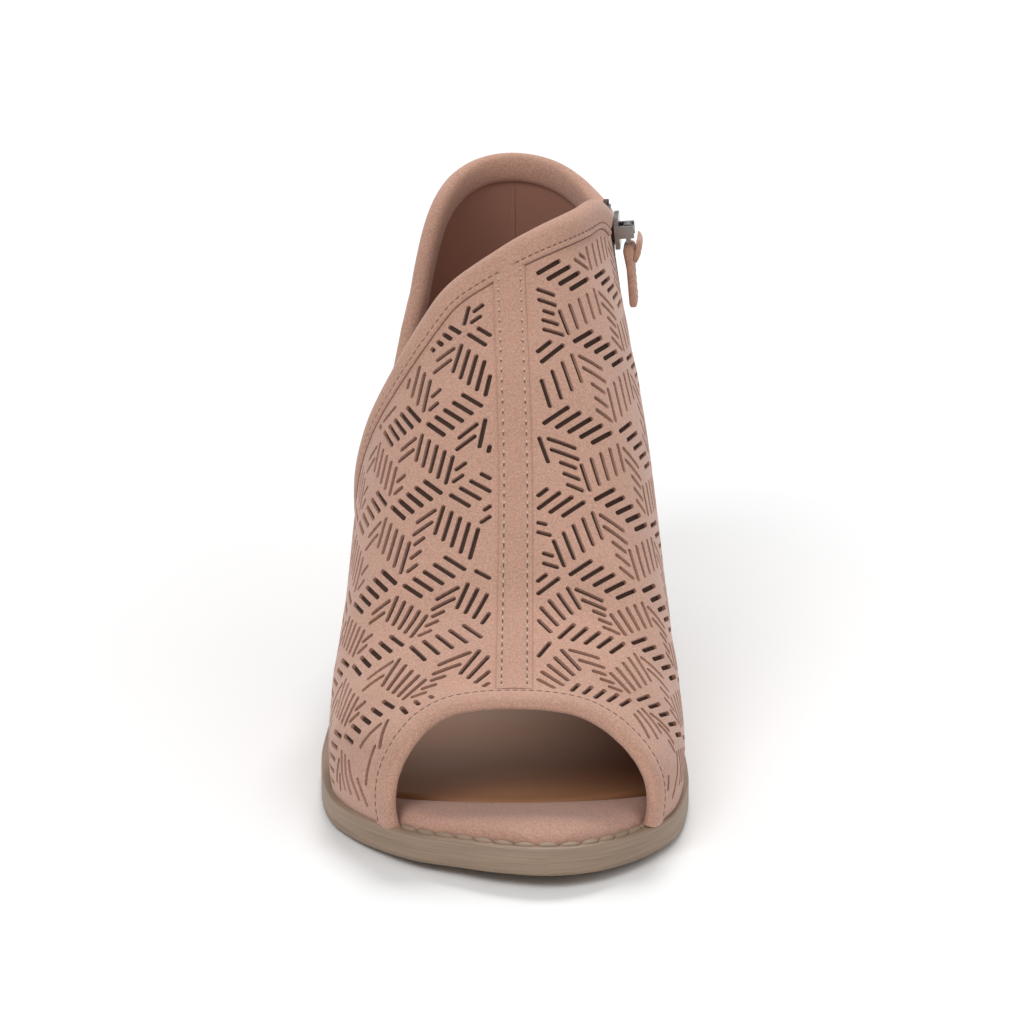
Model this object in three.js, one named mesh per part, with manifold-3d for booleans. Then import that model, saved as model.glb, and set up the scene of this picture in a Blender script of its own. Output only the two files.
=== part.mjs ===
// A peep toe ankle boot for the right foot, with a stacked block heel, a deep cut on its outer side and a zip
// on its inner side. Millimetres. X runs to the inner side of the foot, Y from toe to heel, Z up.
import * as THREE from 'three';
import { mergeVertices } from 'three/addons/utils/BufferGeometryUtils.js';
import Module from 'manifold-3d';

const wasm = await Module();
wasm.setup();

// Driving dimensions
const LENGTH = 224;
const BALL_WIDTH = 90;
const HEEL_RISE = 58;
const TOE_SPRING = 3.5;
const SOLE_THICKNESS = 7;
const WAIST_THICKNESS = 4.6;
const LEDGE = 2.8;
const HEEL_LEDGE = 1.6;
const INSTEP_RISE = 98;
const BACK_RISE = 58;
const WALL = 2;
const FIT_GAP = 0.3;

const BINDING_WIDTH = 7;
const BINDING_PROUD = 1.1;
const BINDING_INSIDE = 1.2;
const TOPLINE_LOWEST = 0.645;
const TOE_BINDING_WIDTH = 6.2;
const TOE_BINDING_PROUD = 0.8;
const TOE_BINDING_INSIDE = 0.4;
const STRIP_WIDTH = 9.4;
const STRIP_THICKNESS = 0.8;
const STRIP_START = 25;
const STRIP_END = 135;

const INSOLE_THICKNESS = 4.4;
const INSOLE_INSET = 3.2;
const INSOLE_START = 3.4;
const INSOLE_END = 38;
const FOOTBED_THICKNESS = 3.4;
const SEAM_GAP = 0.8;

const HEEL_BREAST = 168;
const HEEL_SEAT = 0.86;
const HEEL_FLARE = 1.6;
const HEEL_FLAT_BREAST = 0.42;
const HEEL_FOOT_WIDTH = 46;
const HEEL_FOOT_LENGTH = 40;
const HEEL_BACK_LEAN = 7;
const LIFT_THICKNESS = 5;

const ZIP_WIDTH = 7;
const ZIP_BOTTOM_CLEARANCE = 12;
const TAPE_THICKNESS = 1.3;
const CHAIN_WIDTH = 3.8;
const CHAIN_PROUD = 0.4;
const SLIDER_LENGTH = 8.5;
const SLIDER_WIDTH = 5.6;
const SLIDER_THICKNESS = 1.2;
const SLIDER_BELOW_TOPLINE = 4.6;
const PIN_RADIUS = 0.7;
const PIN_CLEARANCE = 0.3;
const EYE_WALL = 0.8;
const EYE_WIDTH = 2.2;
const EAR_THICKNESS = 0.9;
const LINK_LENGTH = 3.6;
const LINK_THICKNESS = 1.2;
const TAB_LENGTH = 17;
const TAB_WIDTH = 7;
const TAB_THICKNESS = 1.9;
const PULL_TILT = 0;

const SECTIONS = 34;
const HALF_POINTS = 17;
const OUTLINE_STEPS = 44;
const TOPLINE_STEPS = 72;
const TOPLINE_REACH = 9;
const FAR = 400;

// Where the sole stands on the floor, and where its waist becomes thin, as shares of the length
const TREAD_START = 0.25;
const TREAD_END = 0.37;
const THIN_START = 0.39;
const THIN_END = 0.59;
const SKIRT = 6;

// Half widths of the sole, seen from below. Columns: share of length, outer side, inner side (shares of ball width)
const SOLE_OUTLINE = [
  [0.000, 0.087, 0.087],
  [0.005, 0.020, 0.158],
  [0.017, -0.031, 0.218],
  [0.034, -0.137, 0.268],
  [0.058, -0.246, 0.322],
  [0.100, -0.350, 0.389],
  [0.145, -0.428, 0.438],
  [0.201, -0.490, 0.466],
  [0.268, -0.515, 0.478],
  [0.345, -0.520, 0.472],
  [0.424, -0.506, 0.430],
  [0.527, -0.470, 0.363],
  [0.634, -0.430, 0.318],
  [0.737, -0.390, 0.315],
  [0.839, -0.350, 0.325],
  [0.915, -0.290, 0.285],
  [0.964, -0.196, 0.196],
  [0.991, -0.094, 0.094],
  [1.000, 0.000, 0.000],
];

// Sections of the upper, each a plane through a point of the instep ridge and a point low on the sole or the back.
// Columns: ridge along and above the sole (shares of LENGTH, INSTEP_RISE), base along and above the sole (shares of
// LENGTH, BACK_RISE), half width outside and inside (shares of BALL_WIDTH), share of the way down where it is widest,
// roundness of the ridge, 1 where the base is open to the sole and 0 where the back closes it
const UPPER_SECTIONS = [
  [0.050, 0.215, 0.050, 0, 0.235, 0.318, 0.62, 2.35, 1],
  [0.085, 0.262, 0.085, 0, 0.318, 0.372, 0.62, 2.35, 1],
  [0.125, 0.297, 0.125, 0, 0.392, 0.417, 0.64, 2.35, 1],
  [0.170, 0.321, 0.170, 0, 0.450, 0.448, 0.66, 2.30, 1],
  [0.223, 0.374, 0.223, 0, 0.489, 0.464, 0.68, 2.25, 1],
  [0.277, 0.432, 0.277, 0, 0.496, 0.466, 0.70, 2.20, 1],
  [0.348, 0.567, 0.348, 0, 0.490, 0.456, 0.70, 2.20, 1],
  [0.420, 0.718, 0.430, 0, 0.466, 0.436, 0.66, 2.15, 1],
  [0.482, 0.856, 0.565, 0, 0.443, 0.410, 0.60, 2.10, 1],
  [0.531, 0.930, 0.679, 0, 0.418, 0.384, 0.56, 2.05, 1],
  [0.567, 0.994, 0.786, 0, 0.386, 0.355, 0.53, 2.00, 1],
  [0.594, 1.048, 0.884, 0, 0.335, 0.326, 0.52, 2.00, 1],
  [0.612, 1.119, 0.960, 0, 0.308, 0.308, 0.52, 2.00, 1],
  [0.621, 1.185, 0.991, 0.02, 0.290, 0.297, 0.52, 2.00, 0],
  [0.625, 1.236, 0.998, 0.43, 0.270, 0.285, 0.52, 2.00, 0],
  [0.629, 1.282, 0.991, 0.78, 0.253, 0.274, 0.52, 2.00, 0],
  [0.632, 1.323, 0.982, 1.08, 0.245, 0.266, 0.52, 2.00, 0],
  [0.634, 1.364, 0.978, 1.38, 0.240, 0.260, 0.52, 2.00, 0],
];

// The topline, from the middle of the front round the outer side, the back and the inner side.
// Columns: along, across, height above the sole under it (shares of LENGTH, BALL_WIDTH, INSTEP_RISE)
const TOPLINE = [
  [0.585, 0.000, 1.040],
  [0.579, -0.093, 0.995],
  [0.576, -0.201, 0.926],
  [0.570, -0.254, 0.865],
  [0.565, -0.296, 0.807],
  [0.562, -0.337, 0.738],
  [0.564, -0.369, 0.670],
  [0.570, -0.392, 0.597],
  [0.577, -0.413, 0.512],
  [0.589, -0.431, 0.415],
  [0.608, -0.442, 0.316],
  [0.636, -0.446, 0.240],
  [0.670, -0.442, 0.205],
  [0.705, -0.429, 0.202],
  [0.750, -0.400, 0.220],
  [0.804, -0.362, 0.278],
  [0.848, -0.321, 0.380],
  [0.879, -0.287, 0.465],
  [0.908, -0.242, 0.538],
  [0.938, -0.191, 0.569],
  [0.960, -0.142, 0.582],
  [0.980, -0.078, 0.591],
  [0.988, 0.000, 0.594],
  [0.980, 0.078, 0.591],
  [0.962, 0.140, 0.584],
  [0.935, 0.193, 0.575],
  [0.904, 0.237, 0.574],
  [0.857, 0.269, 0.602],
  [0.812, 0.287, 0.657],
  [0.781, 0.289, 0.711],
  [0.757, 0.287, 0.768],
  [0.737, 0.282, 0.824],
  [0.714, 0.267, 0.883],
  [0.688, 0.242, 0.937],
  [0.656, 0.207, 0.985],
  [0.625, 0.152, 1.026],
  [0.598, 0.078, 1.050],
];

// Edge of the peep toe in side view, from the sole up. Columns: millimetres from the tip of the toe, height
const PEEP_LINE = [
  [19.6, 0],
  [19.4, 12],
  [19.3, 18],
  [19.6, 23],
  [20.6, 27],
  [22.4, 30.5],
  [24.9, 33.4],
  [27.2, 35.6],
  [28.8, 38.5],
  [29.6, 43],
];

// Middle line of the zip in side view. Columns: share of length, share of the way from its bottom to the topline
const ZIP_LINE = [
  [0.786, 0],
  [0.762, 1],
];

const COLOURS = {
  suede: { color: 0xbe9687, roughness: 0.95, metalness: 0 },
  stacked: { color: 0xa89685, roughness: 0.7, metalness: 0 },
  rubber: { color: 0x4a4038, roughness: 0.85, metalness: 0 },
  footbed: { color: 0xa98463, roughness: 0.75, metalness: 0 },
  tape: { color: 0x4a322b, roughness: 0.9, metalness: 0 },
  metal: { color: 0xb4b2ae, roughness: 0.3, metalness: 1 },
};

// Joining and cutting

function solidOf(geometry) {
  const bare = geometry.clone();
  bare.deleteAttribute('normal');
  bare.deleteAttribute('uv');
  const merged = mergeVertices(bare, 1e-4);
  const mesh = new wasm.Mesh({
    numProp: 3,
    vertProperties: new Float32Array(merged.attributes.position.array),
    triVerts: new Uint32Array(merged.index.array),
  });
  mesh.merge();
  return new wasm.Manifold(mesh);
}

function geometryOf(solid) {
  const mesh = solid.getMesh();
  const geometry = new THREE.BufferGeometry();
  geometry.setAttribute('position', new THREE.Float32BufferAttribute(mesh.vertProperties, 3));
  geometry.setIndex(Array.from(mesh.triVerts));
  geometry.computeVertexNormals();
  return geometry;
}

// A solid through closed rings of equal length, with a flat cap at each end
function loft(rings) {
  const count = rings[0].length;
  const positions = rings.flat().flatMap((p) => [p.x, p.y, p.z]);
  const index = [];
  for (let i = 0; i + 1 < rings.length; i += 1) {
    for (let j = 0; j < count; j += 1) {
      const next = (j + 1) % count;
      const a = i * count + j;
      const b = i * count + next;
      index.push(a, b, a + count, b, b + count, a + count);
    }
  }
  for (const [row, turn] of [[0, true], [rings.length - 1, false]]) {
    const middle = positions.length / 3;
    const centre = new THREE.Vector3();
    rings[row].forEach((p) => centre.addScaledVector(p, 1 / count));
    positions.push(centre.x, centre.y, centre.z);
    for (let j = 0; j < count; j += 1) {
      const a = row * count + j;
      const b = row * count + (j + 1) % count;
      index.push(...(turn ? [b, a, middle] : [a, b, middle]));
    }
  }
  const geometry = new THREE.BufferGeometry();
  geometry.setAttribute('position', new THREE.Float32BufferAttribute(positions, 3));
  geometry.setIndex(volumeOf(positions, index) < 0 ? index.reverse() : index);
  return geometry;
}

function volumeOf(positions, index) {
  const corner = (k) => new THREE.Vector3(positions[3 * k], positions[3 * k + 1], positions[3 * k + 2]);
  let volume = 0;
  for (let i = 0; i < index.length; i += 3) {
    volume += corner(index[i]).dot(corner(index[i + 1]).cross(corner(index[i + 2]))) / 6;
  }
  return volume;
}

// A closed outline in side view (along, up), pushed across from one x to another
function sidePrism(outline, xFrom, xTo) {
  const shape = new THREE.Shape(outline.map(([along, up]) => new THREE.Vector2(along, up)));
  const geometry = new THREE.ExtrudeGeometry(shape, { depth: xTo - xFrom, bevelEnabled: false });
  // The shape's own x, y and depth become Y, Z and X
  geometry.applyMatrix4(new THREE.Matrix4().makeBasis(
    new THREE.Vector3(0, 1, 0),
    new THREE.Vector3(0, 0, 1),
    new THREE.Vector3(1, 0, 0),
  ));
  geometry.translate(xFrom, 0, 0);
  return solidOf(geometry);
}

// A closed outline seen from above (across, along), pushed up from one height to another
function planPrism(outline, zFrom, zTo) {
  const shape = new THREE.Shape(outline.map(([across, along]) => new THREE.Vector2(across, along)));
  const geometry = new THREE.ExtrudeGeometry(shape, { depth: zTo - zFrom, bevelEnabled: false });
  geometry.translate(0, 0, zFrom);
  return solidOf(geometry);
}

// A smooth curve through a table's points that never overshoots between them
function smooth(xs, ys) {
  const last = xs.length - 1;
  const steps = xs.slice(1).map((x, i) => x - xs[i]);
  const slopes = steps.map((step, i) => (ys[i + 1] - ys[i]) / step);
  const tangents = xs.map((_, i) => {
    if (i === 0) return slopes[0];
    if (i === last) return slopes[last - 1];
    const [before, after] = [slopes[i - 1], slopes[i]];
    if (before * after <= 0) return 0;
    const [a, b] = [2 * steps[i] + steps[i - 1], steps[i] + 2 * steps[i - 1]];
    return (a + b) / (a / before + b / after);
  });
  return (x) => {
    let i = xs.findIndex((value) => value > x) - 1;
    if (i === -2) i = last - 1;
    i = Math.min(Math.max(i, 0), last - 1);
    const t = (x - xs[i]) / steps[i];
    const [h1, h2] = [t * t * (3 - 2 * t), t * t * (t - 1)];
    return ys[i] * (1 - h1) + ys[i + 1] * h1 + steps[i] * (tangents[i] * (h2 - t * t + t) + tangents[i + 1] * h2);
  };
}

const ease = (t) => {
  const u = THREE.MathUtils.clamp(t, 0, 1);
  return u * u * (3 - 2 * u);
};
const column = (table, k) => table.map((row) => row[k]);

// The sole's own curves

function soleBottom(along) {
  const share = along / LENGTH;
  if (share < TREAD_START) return TOE_SPRING * (1 - share / TREAD_START) ** 2;
  if (share < TREAD_END) return 0;
  return HEEL_RISE * ease((share - TREAD_END) / (1 - TREAD_END));
}

function soleThickness(along) {
  const thin = ease((along / LENGTH - THIN_START) / (THIN_END - THIN_START));
  return SOLE_THICKNESS + (WAIST_THICKNESS - SOLE_THICKNESS) * thin;
}

const soleTop = (along) => soleBottom(along) + soleThickness(along);

// The outline is a function of an angle, so that toe and heel are round
const turnOf = (share) => Math.acos(THREE.MathUtils.clamp(1 - 2 * share, -1, 1));
const outlineTurns = column(SOLE_OUTLINE, 0).map(turnOf);
const outlineSides = [1, 2].map((k) => smooth(outlineTurns, column(SOLE_OUTLINE, k)));
const outlineAt = (side, share) => BALL_WIDTH * outlineSides[side](turnOf(share));

// The outline drawn in, by one inset at the toe and forefoot and another at the heel
function insetOutline(side, along, front, rear) {
  const share = THREE.MathUtils.clamp((along - front) / (LENGTH - front - rear), 0, 1);
  const middle = (outlineAt(0, share) + outlineAt(1, share)) / 2;
  const half = (outlineAt(1, share) - outlineAt(0, share)) / 2;
  const inset = front + (rear - front) * ease(share);
  const round = 1 - inset / (BALL_WIDTH / 2);
  return middle + (side === 0 ? -1 : 1) * Math.max(half * round, 0);
}

function insetLoop(front, rear, from, to) {
  const sides = [0, 1].map((side) => {
    const points = [];
    for (let i = 0; i <= OUTLINE_STEPS; i += 1) {
      const share = (1 - Math.cos(Math.PI * i / OUTLINE_STEPS)) / 2;
      const along = from + (to - from) * share;
      points.push([insetOutline(side, along, front, rear), along]);
    }
    return points;
  });
  return tidyLoop([...sides[1], ...sides[0].reverse()]);
}

function tidyLoop(points) {
  return points.filter(([x, y], i) => {
    const [px, py] = points[(i + points.length - 1) % points.length];
    return Math.hypot(x - px, y - py) > 0.05;
  });
}

// What lies between two heights over the sole's underside or its top
function soleLayer(low, high, from, to) {
  const steps = Array.from({ length: OUTLINE_STEPS + 1 }, (_, i) => from + (to - from) * i / OUTLINE_STEPS);
  const lower = steps.map((along) => [along, low(along)]);
  const upper = steps.map((along) => [along, high(along)]).reverse();
  return sidePrism([...lower, ...upper], -BALL_WIDTH, BALL_WIDTH);
}

// The upper's own form, as rings of points that run from the outer base over the ridge to the inner base

const sectionStep = UPPER_SECTIONS.map((_, i) => i);
const sectionColumns = UPPER_SECTIONS[0].map((_, k) => smooth(sectionStep, column(UPPER_SECTIONS, k)));

function halfSection(half, baseHalf, widest, power) {
  const samples = [];
  const fine = 90;
  for (let i = 0; i <= fine; i += 1) {
    const angle = Math.PI * i / fine;
    const turn = Math.abs(Math.cos(angle));
    if (angle <= Math.PI / 2) {
      samples.push([half * Math.sin(angle) ** (2 / power), widest * (1 - turn ** (2 / power))]);
    } else {
      const closing = (baseHalf / half) ** 2;
      const narrow = Math.sqrt(Math.max(1 - (1 - closing) * turn ** 2, 0));
      samples.push([half * narrow, widest + (1 - widest) * turn]);
    }
  }
  return samples;
}

// Spreads points evenly by the length between them
function evenly(points, count) {
  const lengths = [0];
  for (let i = 1; i < points.length; i += 1) lengths.push(lengths[i - 1] + points[i].distanceTo(points[i - 1]));
  const total = lengths[lengths.length - 1];
  const result = [];
  let k = 1;
  for (let i = 0; i <= count; i += 1) {
    const wanted = total * i / count;
    while (k < points.length - 1 && lengths[k] < wanted) k += 1;
    const share = (wanted - lengths[k - 1]) / Math.max(lengths[k] - lengths[k - 1], 1e-9);
    result.push(points[k - 1].clone().lerp(points[k], share));
  }
  return result;
}

function upperRing(step) {
  const [ridge, ridgeRise, base, baseRise, outer, inner, widest, power, open] = sectionColumns.map((f) => f(step));
  const ridgePoint = new THREE.Vector3(0, ridge * LENGTH, soleTop(ridge * LENGTH) + ridgeRise * INSTEP_RISE);
  const baseAlong = base * LENGTH;
  const baseUp = soleTop(Math.min(baseAlong, LENGTH)) + baseRise * BACK_RISE - SKIRT * (1 - Math.min(baseRise * 8, 1));
  const basePoint = new THREE.Vector3(0, baseAlong, baseUp);
  const halves = [0, 1].map((side) => {
    const half = BALL_WIDTH * (side === 0 ? outer : inner);
    const feather = Math.abs(insetOutline(side, Math.min(baseAlong, LENGTH), LEDGE, HEEL_LEDGE));
    const baseHalf = Math.max(Math.min(feather, half * 0.995) * open, 0.4);
    const points = halfSection(half, baseHalf, widest, power).map(([across, down]) => {
      const point = ridgePoint.clone().lerp(basePoint, down);
      point.x = side === 0 ? -across : across;
      return point;
    });
    return evenly(points, HALF_POINTS);
  });
  return [...halves[0].reverse(), ...halves[1].slice(1)];
}

const upperRings = Array.from({ length: SECTIONS + 1 }, (_, i) => (
  upperRing(i / SECTIONS * (UPPER_SECTIONS.length - 1))
));

// Outward directions of the form at each of its points
const upperNormals = upperRings.map((ring, i) => ring.map((_, j) => {
  const pick = (a, b) => upperRings[THREE.MathUtils.clamp(a, 0, SECTIONS)][THREE.MathUtils.clamp(b, 0, ring.length - 1)];
  const lengthways = pick(i + 1, j).clone().sub(pick(i - 1, j));
  const around = pick(i, j + 1).clone().sub(pick(i, j - 1));
  return around.cross(lengthways).normalize();
}));

// The whole form, grown or shrunk by one offset and closed on all sides
function upperForm(offset) {
  return solidOf(loft(upperRings.map((ring, i) => ring.map((point, j) => (
    point.clone().addScaledVector(upperNormals[i][j], offset)
  )))));
}

function nearest(point) {
  let best = [Infinity, 0, 0];
  upperRings.forEach((ring, i) => ring.forEach((other, j) => {
    const distance = other.distanceToSquared(point);
    if (distance < best[0]) best = [distance, i, j];
  }));
  return { normal: upperNormals[best[1]][best[2]], point: upperRings[best[1]][best[2]] };
}

// The topline as a curve in space, and what is cut away above it

const toplineCurve = new THREE.CatmullRomCurve3(TOPLINE.map(([along, across, rise]) => (
  new THREE.Vector3(across * BALL_WIDTH, along * LENGTH, soleTop(along * LENGTH) + rise * INSTEP_RISE)
)), true, 'centripetal');

// The form's outward direction beside the topline, averaged over a short way so that the cut runs smoothly
function toplineNormal(share) {
  const sum = new THREE.Vector3();
  for (let k = -3; k <= 3; k += 1) {
    const point = toplineCurve.getPointAt((share + k / TOPLINE_STEPS / 2 + 1) % 1);
    sum.add(nearest(point).normal);
  }
  return sum.normalize();
}

// Everything above the topline, or above a line that runs a given distance under it on the upper
function aboveTopline(under) {
  const [inside, outside] = [[], []];
  for (let i = 0; i < TOPLINE_STEPS; i += 1) {
    const share = i / TOPLINE_STEPS;
    const point = toplineCurve.getPointAt(share);
    const normal = toplineNormal(share);
    const downwards = normal.clone().cross(toplineCurve.getTangentAt(share)).normalize();
    if (downwards.z > 0) downwards.negate();
    const seat = point.addScaledVector(downwards, under);
    inside.push(seat.clone().addScaledVector(normal, -TOPLINE_REACH));
    outside.push(seat.clone().addScaledVector(normal, TOPLINE_REACH));
  }
  const height = 2 * (INSTEP_RISE + HEEL_RISE);
  const lift = (ring) => ring.map((p) => new THREE.Vector3(p.x, p.y, height));
  return solidOf(loft([inside, outside, lift(outside)]));
}

// Everything in front of the peep toe's edge, set back by a further distance
function beforePeep(setback) {
  const edge = PEEP_LINE.map(([along, up]) => [along + setback, up]);
  const [first, last] = [edge[0], edge[edge.length - 1]];
  const outline = [[-FAR, -FAR], [first[0], -FAR], ...edge, [last[0], FAR], [-FAR, FAR]];
  return sidePrism(outline, -BALL_WIDTH, BALL_WIDTH);
}

// A band of a given width along a line in side view, on the inner side of the foot only
const zipEnds = (() => {
  const [low, high] = ZIP_LINE;
  const lowAlong = low[0] * LENGTH;
  const highAlong = high[0] * LENGTH;
  const bottom = new THREE.Vector2(lowAlong, soleTop(lowAlong) + ZIP_BOTTOM_CLEARANCE);
  const innerTopline = toplineCurve.getPoints(400).filter((p) => p.x > 0);
  const crossing = innerTopline.reduce((a, b) => (Math.abs(a.y - highAlong) < Math.abs(b.y - highAlong) ? a : b));
  return { bottom, top: new THREE.Vector2(highAlong, crossing.z) };
})();

function zipBand(width, below, above) {
  const direction = zipEnds.top.clone().sub(zipEnds.bottom).normalize();
  const aside = new THREE.Vector2(-direction.y, direction.x).multiplyScalar(width / 2);
  const low = zipEnds.bottom.clone().addScaledVector(direction, -below);
  const high = zipEnds.top.clone().addScaledVector(direction, above);
  const corners = [low.clone().add(aside), low.clone().sub(aside), high.clone().sub(aside), high.clone().add(aside)];
  return sidePrism(corners.map((c) => [c.x, c.y]), 0, BALL_WIDTH);
}

// Pieces

const parts = [];

function addPart(name, solid, finish) {
  const material = new THREE.MeshStandardMaterial(COLOURS[finish]);
  const mesh = new THREE.Mesh(solid.isBufferGeometry ? solid : geometryOf(solid), material);
  mesh.name = name;
  parts.push(mesh);
  return mesh;
}

function makeSole() {
  const slab = soleLayer(soleBottom, soleTop, -1, LENGTH + 1);
  const outline = planPrism(insetLoop(0, 0, 0, LENGTH), -FAR, FAR);
  addPart('outsole', outline.intersect(slab), 'stacked');
}

// A rounded block heel that follows the seat's outline at its top and a smaller one at the floor
function makeHeel() {
  const footBack = LENGTH - HEEL_BACK_LEAN;
  const footFront = footBack - HEEL_FOOT_LENGTH;
  const ring = (height) => {
    const rise = height / HEEL_RISE;
    const front = THREE.MathUtils.lerp(footFront, HEEL_BREAST, rise);
    const back = THREE.MathUtils.lerp(footBack, LENGTH - HEEL_LEDGE, rise);
    const half = 14;
    const points = [];
    for (let i = 0; i <= 2 * half; i += 1) {
      const angle = Math.PI * (i / (2 * half) - 0.5);
      const reach = Math.cos(angle) ** 0.72;
      const side = angle < 0 ? 0 : 1;
      const seatHalf = Math.abs(insetOutline(side, HEEL_SEAT * LENGTH, HEEL_LEDGE, HEEL_LEDGE));
      const width = THREE.MathUtils.lerp(HEEL_FOOT_WIDTH / 2, seatHalf, rise ** HEEL_FLARE);
      const across = Math.sign(angle) * width * Math.min(Math.abs(Math.sin(angle)) ** 0.62, 1);
      points.push(new THREE.Vector3(across, front + (back - front) * (HEEL_FLAT_BREAST + (1 - HEEL_FLAT_BREAST) * reach), height));
    }
    const [first, last] = [points[0], points[points.length - 1]];
    return [new THREE.Vector3(first.x, front, height), ...points, new THREE.Vector3(last.x, front, height)];
  };
  const heights = [0, 0.2, 0.4, 0.6, 0.8, 1, 1.25].map((share) => share * HEEL_RISE);
  const block = solidOf(loft(heights.map(ring)));
  const under = soleLayer(() => LIFT_THICKNESS, (along) => soleBottom(along) - FIT_GAP, HEEL_BREAST - 20, LENGTH + 9);
  addPart('heel_block', block.intersect(under), 'stacked');
  const lift = soleLayer(() => 0, () => LIFT_THICKNESS, HEEL_BREAST - 20, LENGTH + 9);
  addPart('heel_top_lift', block.intersect(lift), 'rubber');
}

// The pink padded front of the insole and the leather footbed behind it, both inside the upper's wall
function makeInside() {
  const toeLoop = insetLoop(INSOLE_INSET, INSOLE_INSET, INSOLE_START, LENGTH - INSOLE_INSET);
  const toeOutline = planPrism(toeLoop, -FAR, FAR);
  const within = (lining) => upperForm(-(WALL + lining + FIT_GAP));
  const open = beforePeep(-1);
  const seat = (along) => soleTop(along) + FIT_GAP;
  const pad = (along) => {
    const fromToe = THREE.MathUtils.clamp((along - INSOLE_START) / INSOLE_THICKNESS, 0, 1);
    const fromEnd = THREE.MathUtils.clamp((INSOLE_END - along) / INSOLE_THICKNESS, 0, 1);
    const round = Math.sqrt(1 - (1 - Math.min(fromToe, fromEnd)) ** 2);
    return seat(along) + INSOLE_THICKNESS * (0.4 + 0.6 * round);
  };
  const padLayer = soleLayer(seat, pad, 0, INSOLE_END);
  const padOutline = toeOutline.intersect(open).add(within(TOE_BINDING_INSIDE));
  addPart('insole_front', padOutline.intersect(padLayer), 'suede');
  const bedLayer = soleLayer(seat, (along) => seat(along) + FOOTBED_THICKNESS, INSOLE_END + SEAM_GAP, LENGTH);
  addPart('footbed', within(0).intersect(bedLayer), 'footbed');
}

function makeUpper() {
  const aboveSole = soleLayer((along) => soleTop(along) + FIT_GAP, () => FAR, -1, LENGTH + 9);
  const shell = (outside, inside) => upperForm(outside).subtract(upperForm(-inside)).intersect(aboveSole);
  const slit = zipBand(ZIP_WIDTH, 0, FAR / 10);
  const underBinding = aboveTopline(BINDING_WIDTH + FIT_GAP);
  const behindToeBinding = beforePeep(TOE_BINDING_WIDTH + FIT_GAP);
  const upper = shell(0, WALL).subtract(underBinding).subtract(behindToeBinding).subtract(slit);
  addPart('upper', upper, 'suede');

  const rim = shell(BINDING_PROUD, WALL + BINDING_INSIDE);
  const binding = rim.intersect(aboveTopline(BINDING_WIDTH)).subtract(aboveTopline(0)).subtract(slit);
  const lowest = TOPLINE_LOWEST * LENGTH;
  const parting = (from, to) => sidePrism([[from, -FAR], [to, -FAR], [to, FAR], [from, FAR]], -BALL_WIDTH, BALL_WIDTH);
  const innerHalf = sidePrism([[-FAR, -FAR], [zipEnds.top.x, -FAR], [zipEnds.top.x, FAR], [-FAR, FAR]], 0, BALL_WIDTH);
  const front = parting(-FAR, lowest - FIT_GAP / 2).add(innerHalf);
  addPart('topline_binding_front', binding.intersect(front), 'suede');
  const back = binding.subtract(parting(-FAR, lowest + FIT_GAP / 2).add(innerHalf));
  addPart('topline_binding_back', back, 'suede');

  const toeRim = shell(TOE_BINDING_PROUD, WALL + TOE_BINDING_INSIDE);
  const toeBinding = toeRim.intersect(beforePeep(TOE_BINDING_WIDTH)).subtract(beforePeep(0));
  addPart('toe_binding', toeBinding, 'suede');

  const overlay = upperForm(FIT_GAP + STRIP_THICKNESS).subtract(upperForm(FIT_GAP));
  const stripLine = [[0, STRIP_START], [STRIP_END, STRIP_START], [STRIP_END, FAR], [0, FAR]];
  const stripZone = sidePrism(stripLine, -STRIP_WIDTH / 2, STRIP_WIDTH / 2);
  const strip = overlay.intersect(stripZone).subtract(underBinding).subtract(behindToeBinding);
  addPart('vamp_strip', strip, 'suede');

  const tapeDepth = FIT_GAP + TAPE_THICKNESS;
  const tape = upperForm(-FIT_GAP).subtract(upperForm(-tapeDepth));
  const tapeZone = zipBand(ZIP_WIDTH - 2 * FIT_GAP, -FIT_GAP, 0);
  addPart('zip_tape', tape.intersect(tapeZone), 'tape');
  const chain = upperForm(CHAIN_PROUD).subtract(upperForm(0));
  addPart('zip_chain', chain.intersect(zipBand(CHAIN_WIDTH, -FIT_GAP, -FIT_GAP)), 'tape');
}

// A frame at the slider: out from the wall, down along the zip, and the pin's own direction
function sliderFrame() {
  const direction = zipEnds.top.clone().sub(zipEnds.bottom).normalize();
  const spot = zipEnds.top.clone().addScaledVector(direction, -SLIDER_BELOW_TOPLINE);
  const innerSide = upperRings.flat().filter((p) => p.x > BALL_WIDTH / 5);
  const near = innerSide.reduce((a, b) => (
    Math.hypot(a.y - spot.x, a.z - spot.y) < Math.hypot(b.y - spot.x, b.z - spot.y) ? a : b
  ));
  const { normal } = nearest(near);
  // The wall's plane at the nearest point gives the wall's x at the slider itself
  const x = near.x - (normal.y * (spot.x - near.y) + normal.z * (spot.y - near.z)) / normal.x;
  const out = normal.clone();
  const down = new THREE.Vector3(0, -direction.x, -direction.y);
  down.addScaledVector(out, -down.dot(out)).normalize();
  const pin = new THREE.Vector3().crossVectors(out, down);
  const origin = new THREE.Vector3(x, spot.x, spot.y);
  return { origin, out, down, pin };
}

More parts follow.
